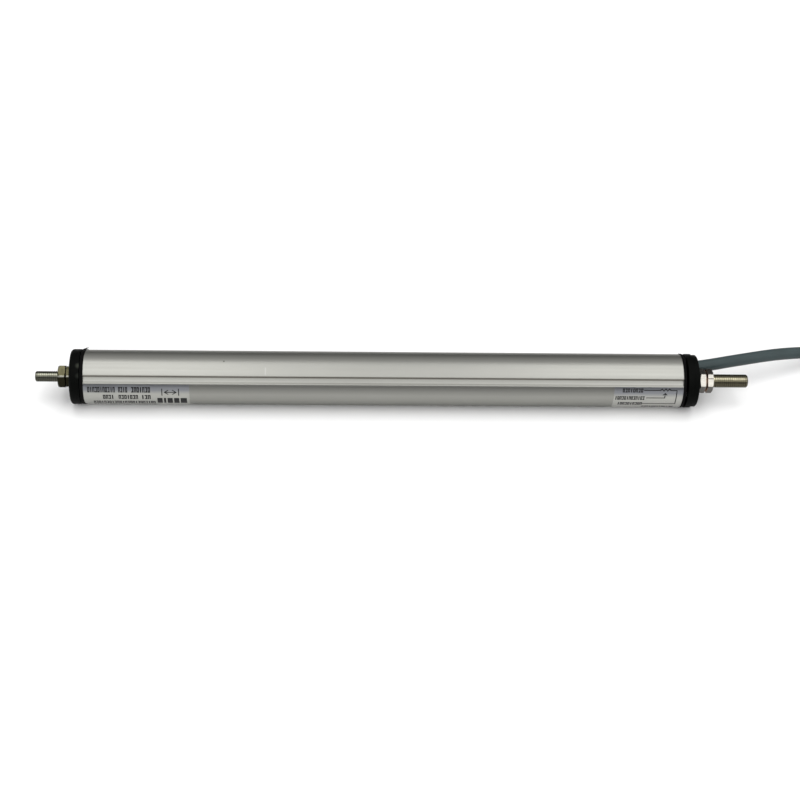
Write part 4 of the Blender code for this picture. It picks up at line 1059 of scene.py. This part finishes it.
def wrap_round_tube(piece, radius, thickness):
    """Cuts a flat drawing into narrow strips, gives it its thickness and bends it."""
    edit(piece)
    heights = [(piece.matrix_world @ v.co).z for v in piece.data.vertices]
    lowest, highest = min(heights), max(heights)
    for step in range(math.ceil(lowest / LABEL_CUT), math.floor(highest / LABEL_CUT) + 1):
        bpy.ops.mesh.select_all(action="SELECT")
        bpy.ops.mesh.bisect(plane_co=(0, 0, step * LABEL_CUT), plane_no=(0, 0, 1))
    leave()
    apply_modifier(piece, "SOLIDIFY", thickness=thickness, offset=1.0)
    apply_modifier(
        piece, "SIMPLE_DEFORM", deform_method="BEND", deform_axis="X",
        angle=(highest - lowest) / radius,
    )
    piece.location = (0.0, -radius, AXIS_HEIGHT)
    bpy.ops.object.transform_apply(location=True, rotation=False, scale=False)


def make_label(side, place, foil, ink, shapes):
    start, stop, top, bottom = place
    tall = arc_height(top) - arc_height(bottom)
    middle = ((start + stop) / 2, (arc_height(top) + arc_height(bottom)) / 2)
    plate = flat_patch(f"{side}_label", middle, stop - start, tall)
    wrap_round_tube(plate, TUBE_RADIUS, sizes().label_thickness)
    finish(plate, foil, "housing")
    marks = []
    for row in PRINT_ROWS[side]:
        marks += print_row(shapes, *row)
    for points in PRINT_LINES[side]:
        marks += print_line(points)
    for left, right, high, low in PRINT_BLOCKS[side]:
        centre = ((left + right) / 2 * MM, (arc_height(high) + arc_height(low)) / 2)
        marks.append(flat_patch(
            "print_block", centre, (right - left) * MM, arc_height(high) - arc_height(low)
        ))
    printed = join(*marks)
    printed.name = f"{side}_label_print"
    wrap_round_tube(printed, TUBE_RADIUS + sizes().label_thickness, sizes().ink_height)
    finish(printed, ink, "housing")


def make_labels():
    foil, ink = label_foil(), label_ink()
    shapes = mark_shapes()
    make_label("left", LEFT_LABEL, foil, ink, shapes)
    make_label("right", RIGHT_LABEL, foil, ink, shapes)
    for shape in shapes.values():
        bpy.data.objects.remove(shape)


# Threads and nuts

def thread(name, radius, pitch, start_x, end_x):
    """A solid length of 60 degree thread, cut square at both ends."""
    root = radius - THREAD_DEPTH * pitch
    first = start_x - THREAD_LEAD_IN * pitch
    line = drawn_line(name, [
        (first + share * pitch, 0.0, root + (radius - root) * rise) for share, rise in THREAD_FORM
    ])
    apply_modifier(
        line, "SCREW", axis="X", angle=2 * math.pi, screw_offset=pitch,
        iterations=math.ceil((end_x - start_x) / pitch) + 3, steps=THREAD_STEPS,
        render_steps=THREAD_STEPS, use_merge_vertices=True, merge_threshold=MERGE,
    )
    edit(line)
    bpy.ops.mesh.remove_doubles(threshold=MERGE)
    bpy.ops.transform.translate(value=(0, 0, AXIS_HEIGHT))
    for place, side in ((start_x, "clear_inner"), (end_x, "clear_outer")):
        cut_open_mesh(place, side)
    bpy.ops.mesh.select_all(action="SELECT")
    bpy.ops.mesh.normals_make_consistent(inside=False)
    leave()
    return line


def cut_open_mesh(x, side):
    """Cuts the mesh in edit mode square at x, clears one side and closes the cut."""
    bpy.ops.mesh.select_all(action="SELECT")
    bpy.ops.mesh.bisect(plane_co=(x, 0, 0), plane_no=(1, 0, 0), use_fill=True, **{side: True})


def rounded_blank(name, radius, tip_x, root_x):
    """A plain bar with a rounded tip, a little longer than the thread at its root."""
    edge = radius + 0.02 * MM
    inwards = 1.0 if root_x > tip_x else -1.0
    tip_edge = sizes().tip_edge
    rounding = [
        (
            tip_x + inwards * tip_edge * (1 - math.cos(math.radians(turn))),
            edge - tip_edge * (1 - math.sin(math.radians(turn))),
        )
        for turn in (0, 22, 45, 68, 90)
    ]
    beyond = root_x + inwards * MM
    return turned(name, [(tip_x, 0.0), *rounding, (beyond, edge), (beyond, 0.0)])


def threaded_bar(node, name, radius, pitch, tip_x, root_x):
    """A packed bar whose length from tip to root gets a rolled thread and a rounded tip."""
    bar = thread(f"{node}_thread", radius, pitch, min(tip_x, root_x), max(tip_x, root_x))
    blank = rounded_blank(f"{node}_blank", radius, tip_x, root_x)
    apply_modifier(bar, "BOOLEAN", operation="INTERSECT", solver="EXACT", object=blank)
    bpy.data.objects.remove(blank)
    rest = copy_of(node, f"{node}_rest")
    edit(rest)
    cut_open_mesh(root_x, "clear_inner" if root_x > tip_x else "clear_outer")
    leave()
    join(bar, rest)
    bar.name = name
    shade(bar)
    return bar


def make_threads():
    finish(
        threaded_bar(
            "rod", "threaded_rod", ROD_RADIUS, sizes().rod_pitch, ROD_TIP_X, ROD_THREAD_END_X,
        ),
        painted_light_thread(
            "stainless_rod_steel", colours().steel, 0.16, FINE_LINES,
            (ROD_TIP_X - MM, ROD_THREAD_END_X), ROD_PAINTED_LIGHT,
        ),
        "rod", ("rod",),
    )
    finish(
        threaded_bar(
            "rear_stud", "threaded_stud", STUD_RADIUS, sizes().stud_pitch, STUD_TIP_X,
            STUD_THREAD_START_X,
        ),
        painted_light_thread(
            "tarnished_nickel_steel", colours().stud, 0.17, TURNED_LINES,
            (STUD_THREAD_START_X, STUD_TIP_X + MM), STUD_PAINTED_LIGHT,
        ),
        "housing", ("rear_stud",),
    )
    nickel = nut_plating(
        "nickel_plated_steel", colours().nickel, 0.22, STUD_LIT_FLAT, STUD_NUT_FLAT_SHADE, False, True,
    )
    olive = nut_plating(
        "olive_chromated_steel", colours().olive, 0.26, ROD_LIT_FLAT, OUTER_NUT_FLAT_SHADE,
    )
    # The inner rod nut: the olive plating darkened as painted shade
    olive_painted_shade = nut_plating(
        "olive_chromated_steel_painted_shade", shaded(colours().olive, INNER_NUT_PAINTED_SHADE), 0.26,
        ROD_LIT_FLAT, INNER_NUT_FLAT_SHADE,
    )
    for node, body, plating in (
        ("rod_nut_inner", "rod", olive_painted_shade), ("rod_nut_outer", "rod", olive),
        ("rear_nut_inner", "housing", nickel), ("rear_nut_outer", "housing", nickel),
    ):
        nut = copy_of(node, node.replace("nut", "hex_nut"))
        soften(nut, sizes().nut_edge)
        finish(nut, plating, body, (node,))
    plain_nickel = plated_steel("nickel_plated_screw_steel", colours().nickel, 0.24, TURNED_LINES)
    screws = [f"{end}_screw_{number}" for end in ("front", "rear") for number in (1, 2, 3)]
    for node in (*screws, "carriage_nut"):
        repaint(node, plain_nickel)


# Pieces inside the tube

def finish_inside():
    for material, nodes in (
        (moulded("filled_bearing_polymer", "#9A9080", 0.5, 0.2 * MM), ("rod_bushing",)),
        (moulded("acetal_slider", "#E0DDD2", 0.42, 0.5 * MM), ("carriage",)),
        (board_laminate(), ("resistor_board",)),
        (
            plated_steel("phosphor_bronze", linear("#D8B878"), 0.25, FINE_LINES),
            ("wiper_track", "wiper_collector", "wiper_rivet_1", "wiper_rivet_2"),
        ),
        (
            plated_steel("tinned_brass", linear("#C9C9CC"), 0.35, FINE_LINES),
            ("terminal_1", "terminal_2", "terminal_3"),
        ),
    ):
        for node in nodes:
            repaint(node, material)


# The stage

def make_floor():
    """A wide pale floor that shows white, and keeps the sensor's shadow."""
    begin()
    bpy.ops.mesh.primitive_plane_add(size=FLOOR_SIZE, location=(0, 0, FLOOR_HEIGHT))
    floor = bpy.context.object
    floor.name = "studio_floor"
    material = bpy.data.materials.new("painted_studio_floor")
    material.use_nodes = True
    tree = material.node_tree
    tree.nodes.remove(tree.nodes["Principled BSDF"])
    rays = add_node(tree, "LightPath").outputs
    shown = rays["Is Camera Ray"]
    for kind in ("Is Glossy Ray", "Is Transmission Ray"):
        shown = add_node(tree, "Math", {0: shown, 1: rays[kind]}, operation="MAXIMUM").outputs[0]
    plain = colours().floor
    paint = add_node(
        tree, "BsdfDiffuse", {"Color": laid_over(tree, shown, plain, shaded(plain, FLOOR_LIFT))},
    )
    tree.links.new(paint.outputs["BSDF"], tree.nodes["Material Output"].inputs["Surface"])
    floor.data.materials.append(material)


def gap_slope():
    """How far sideways the tube's middle sends the camera's view, which is where the gap is."""
    return (AIM_X - camera_place().x) / CAMERA_DISTANCE


def make_lamps():
    """Two soft boxes above the set, side by side, each as bright all over its front."""
    rise = math.radians(KEY_ELEVATION)
    for name, side in (("left_soft_box", -1), ("right_soft_box", 1)):
        data = bpy.data.lights.new(name, "AREA")
        data.shape = "RECTANGLE"
        data.size = KEY_WIDTH
        data.size_y = KEY_HEIGHT
        data.energy = KEY_RADIANCE * math.pi * KEY_WIDTH * KEY_HEIGHT
        lamp = add_object(name, data)
        x = gap_slope() * KEY_DISTANCE + side * (KEY_GAP + KEY_WIDTH) / 2
        lamp.location = (x, -KEY_DISTANCE * math.cos(rise), KEY_DISTANCE * math.sin(rise))
        aim = Vector((x, 0, AXIS_HEIGHT)) - lamp.location
        lamp.rotation_euler = aim.to_track_quat("-Z", "Y").to_euler()


def make_world():
    """The tent: its cloth is a little brighter to the left and right of the camera's gap."""
    world = bpy.data.worlds.new("cloth_tent")
    bpy.context.scene.world = world
    world.use_nodes = True
    tree = world.node_tree
    towards = add_node(tree, "TexCoord").outputs["Generated"]
    direction = add_node(tree, "SeparateXYZ", {"Vector": towards}).outputs
    front = add_node(tree, "Math", {0: direction["Y"], 1: -1.0}, operation="MULTIPLY").outputs[0]
    rise = add_node(tree, "Math", {0: direction["Z"], 1: front}, operation="ARCTAN2").outputs[0]
    cloth = add_node(tree, "ValToRGB", {"Fac": spread_between(tree, rise, 0.0, 1.0, 0.0, math.pi)})
    marks = cloth.color_ramp.elements
    for number, (angle, level) in enumerate(TENT_CLOTH):
        inner = 0 < number < len(TENT_CLOTH) - 1
        mark = marks.new(angle / 180.0) if inner else marks[min(number, len(marks) - 1)]
        mark.position = angle / 180.0
        mark.color = (level, level, level, 1.0)
    strength = spread_between(
        tree, apart(tree, direction["X"], gap_slope()), TENT_LEVEL * TENT_GAP, TENT_LEVEL,
        TENT_GAP_FROM, TENT_GAP_TO,
    )
    background = tree.nodes["Background"].inputs
    tree.links.new(cloth.outputs["Color"], background["Color"])
    tree.links.new(strength, background["Strength"])


def camera_axes():
    """The camera's forward, right and up directions."""
    pitch = math.radians(CAMERA_ELEVATION) + math.atan(AIM_PIXELS_UP / FOCAL_PIXELS)
    yaw = math.radians(CAMERA_YAW)
    forward = Vector((
        math.sin(yaw), math.cos(yaw) * math.cos(pitch), -math.cos(yaw) * math.sin(pitch)
    ))
    level = forward.cross(Vector((0, 0, 1))).normalized()
    upright = level.cross(forward)
    roll = math.radians(CAMERA_ROLL)
    right = level * math.cos(roll) + upright * math.sin(roll)
    up = upright * math.cos(roll) - level * math.sin(roll)
    return forward, right, up


def camera_place():
    forward, _, up = camera_axes()
    ray = (forward + up * (AIM_PIXELS_UP / FOCAL_PIXELS)).normalized()
    return Vector((AIM_X, 0, AXIS_HEIGHT)) - ray * CAMERA_DISTANCE


def make_camera():
    forward, right, up = camera_axes()
    data = bpy.data.cameras.new("picture_camera")
    data.sensor_width = FILM_WIDTH
    data.lens = FILM_WIDTH * FOCAL_PIXELS / PICTURE_PIXELS
    data.clip_start = 0.01
    data.clip_end = 50.0
    camera = add_object("picture_camera", data)
    turn = Matrix((right, up, -forward)).transposed().to_4x4()
    camera.matrix_world = Matrix.Translation(camera_place()) @ turn
    bpy.context.scene.camera = camera
    bpy.context.scene.view_settings.view_transform = "Standard"


# Operators, panel and main

class SENSOR_OT_add_stage(bpy.types.Operator):
    """Adds the camera, the floor and the studio light"""

    bl_idname = "sensor.add_stage"
    bl_label = "Stage"

    def execute(self, context):
        make_camera()
        make_floor()
        make_lamps()
        make_world()
        return {"FINISHED"}


class SENSOR_OT_add_cable(bpy.types.Operator):
    """Adds the signal cable with its hank, tie and bare cores"""

    bl_idname = "sensor.add_cable"
    bl_label = "Cable"

    def execute(self, context):
        make_cable()
        return {"FINISHED"}


class SENSOR_OT_add_housing(bpy.types.Operator):
    """Finishes the tube, the two caps and their gaskets"""

    bl_idname = "sensor.add_housing"
    bl_label = "Tube and caps"

    def execute(self, context):
        make_housing()
        return {"FINISHED"}


class SENSOR_OT_add_labels(bpy.types.Operator):
    """Adds the two foil labels with their print"""

    bl_idname = "sensor.add_labels"
    bl_label = "Labels"

    def execute(self, context):
        make_labels()
        return {"FINISHED"}


class SENSOR_OT_add_threads(bpy.types.Operator):
    """Adds the threaded rod and stud with their nuts"""

    bl_idname = "sensor.add_threads"
    bl_label = "Threads and nuts"

    def execute(self, context):
        make_threads()
        return {"FINISHED"}


class SENSOR_OT_finish_inside(bpy.types.Operator):
    """Finishes the bearing, the slider, the board and the contacts inside the tube"""

    bl_idname = "sensor.finish_inside"
    bl_label = "Inner pieces"

    def execute(self, context):
        finish_inside()
        return {"FINISHED"}


OPERATORS = (
    SENSOR_OT_add_stage, SENSOR_OT_add_cable, SENSOR_OT_add_housing, SENSOR_OT_add_labels,
    SENSOR_OT_add_threads, SENSOR_OT_finish_inside,
)


class SENSOR_PT_pieces(bpy.types.Panel):
    """Lists the sensor's operators, sizes and colours"""

    bl_idname = "SENSOR_PT_pieces"
    bl_label = "Shock travel sensor"
    bl_space_type = "VIEW_3D"
    bl_region_type = "UI"
    bl_category = "Sensor"

    def draw(self, context):
        column = self.layout.column()
        for operator in OPERATORS:
            column.operator(operator.bl_idname)
        for group in (context.scene.sensor_sizes, context.scene.sensor_colours):
            for name in group.__annotations__:
                column.prop(group, name)


CLASSES = (SensorSizes, SensorColours, *OPERATORS, SENSOR_PT_pieces)


def register():
    for item in CLASSES:
        bpy.utils.register_class(item)
    bpy.types.Scene.sensor_sizes = bpy.props.PointerProperty(type=SensorSizes)
    bpy.types.Scene.sensor_colours = bpy.props.PointerProperty(type=SensorColours)


def unregister():
    del bpy.types.Scene.sensor_colours
    del bpy.types.Scene.sensor_sizes
    for item in reversed(CLASSES):
        bpy.utils.unregister_class(item)


def main():
    register()
    bpy.ops.sensor.add_stage()
    bpy.ops.sensor.add_cable()
    bpy.ops.sensor.add_housing()
    bpy.ops.sensor.add_labels()
    bpy.ops.sensor.add_threads()
    bpy.ops.sensor.finish_inside()
    begin()


if __name__ == "__main__":
    main()
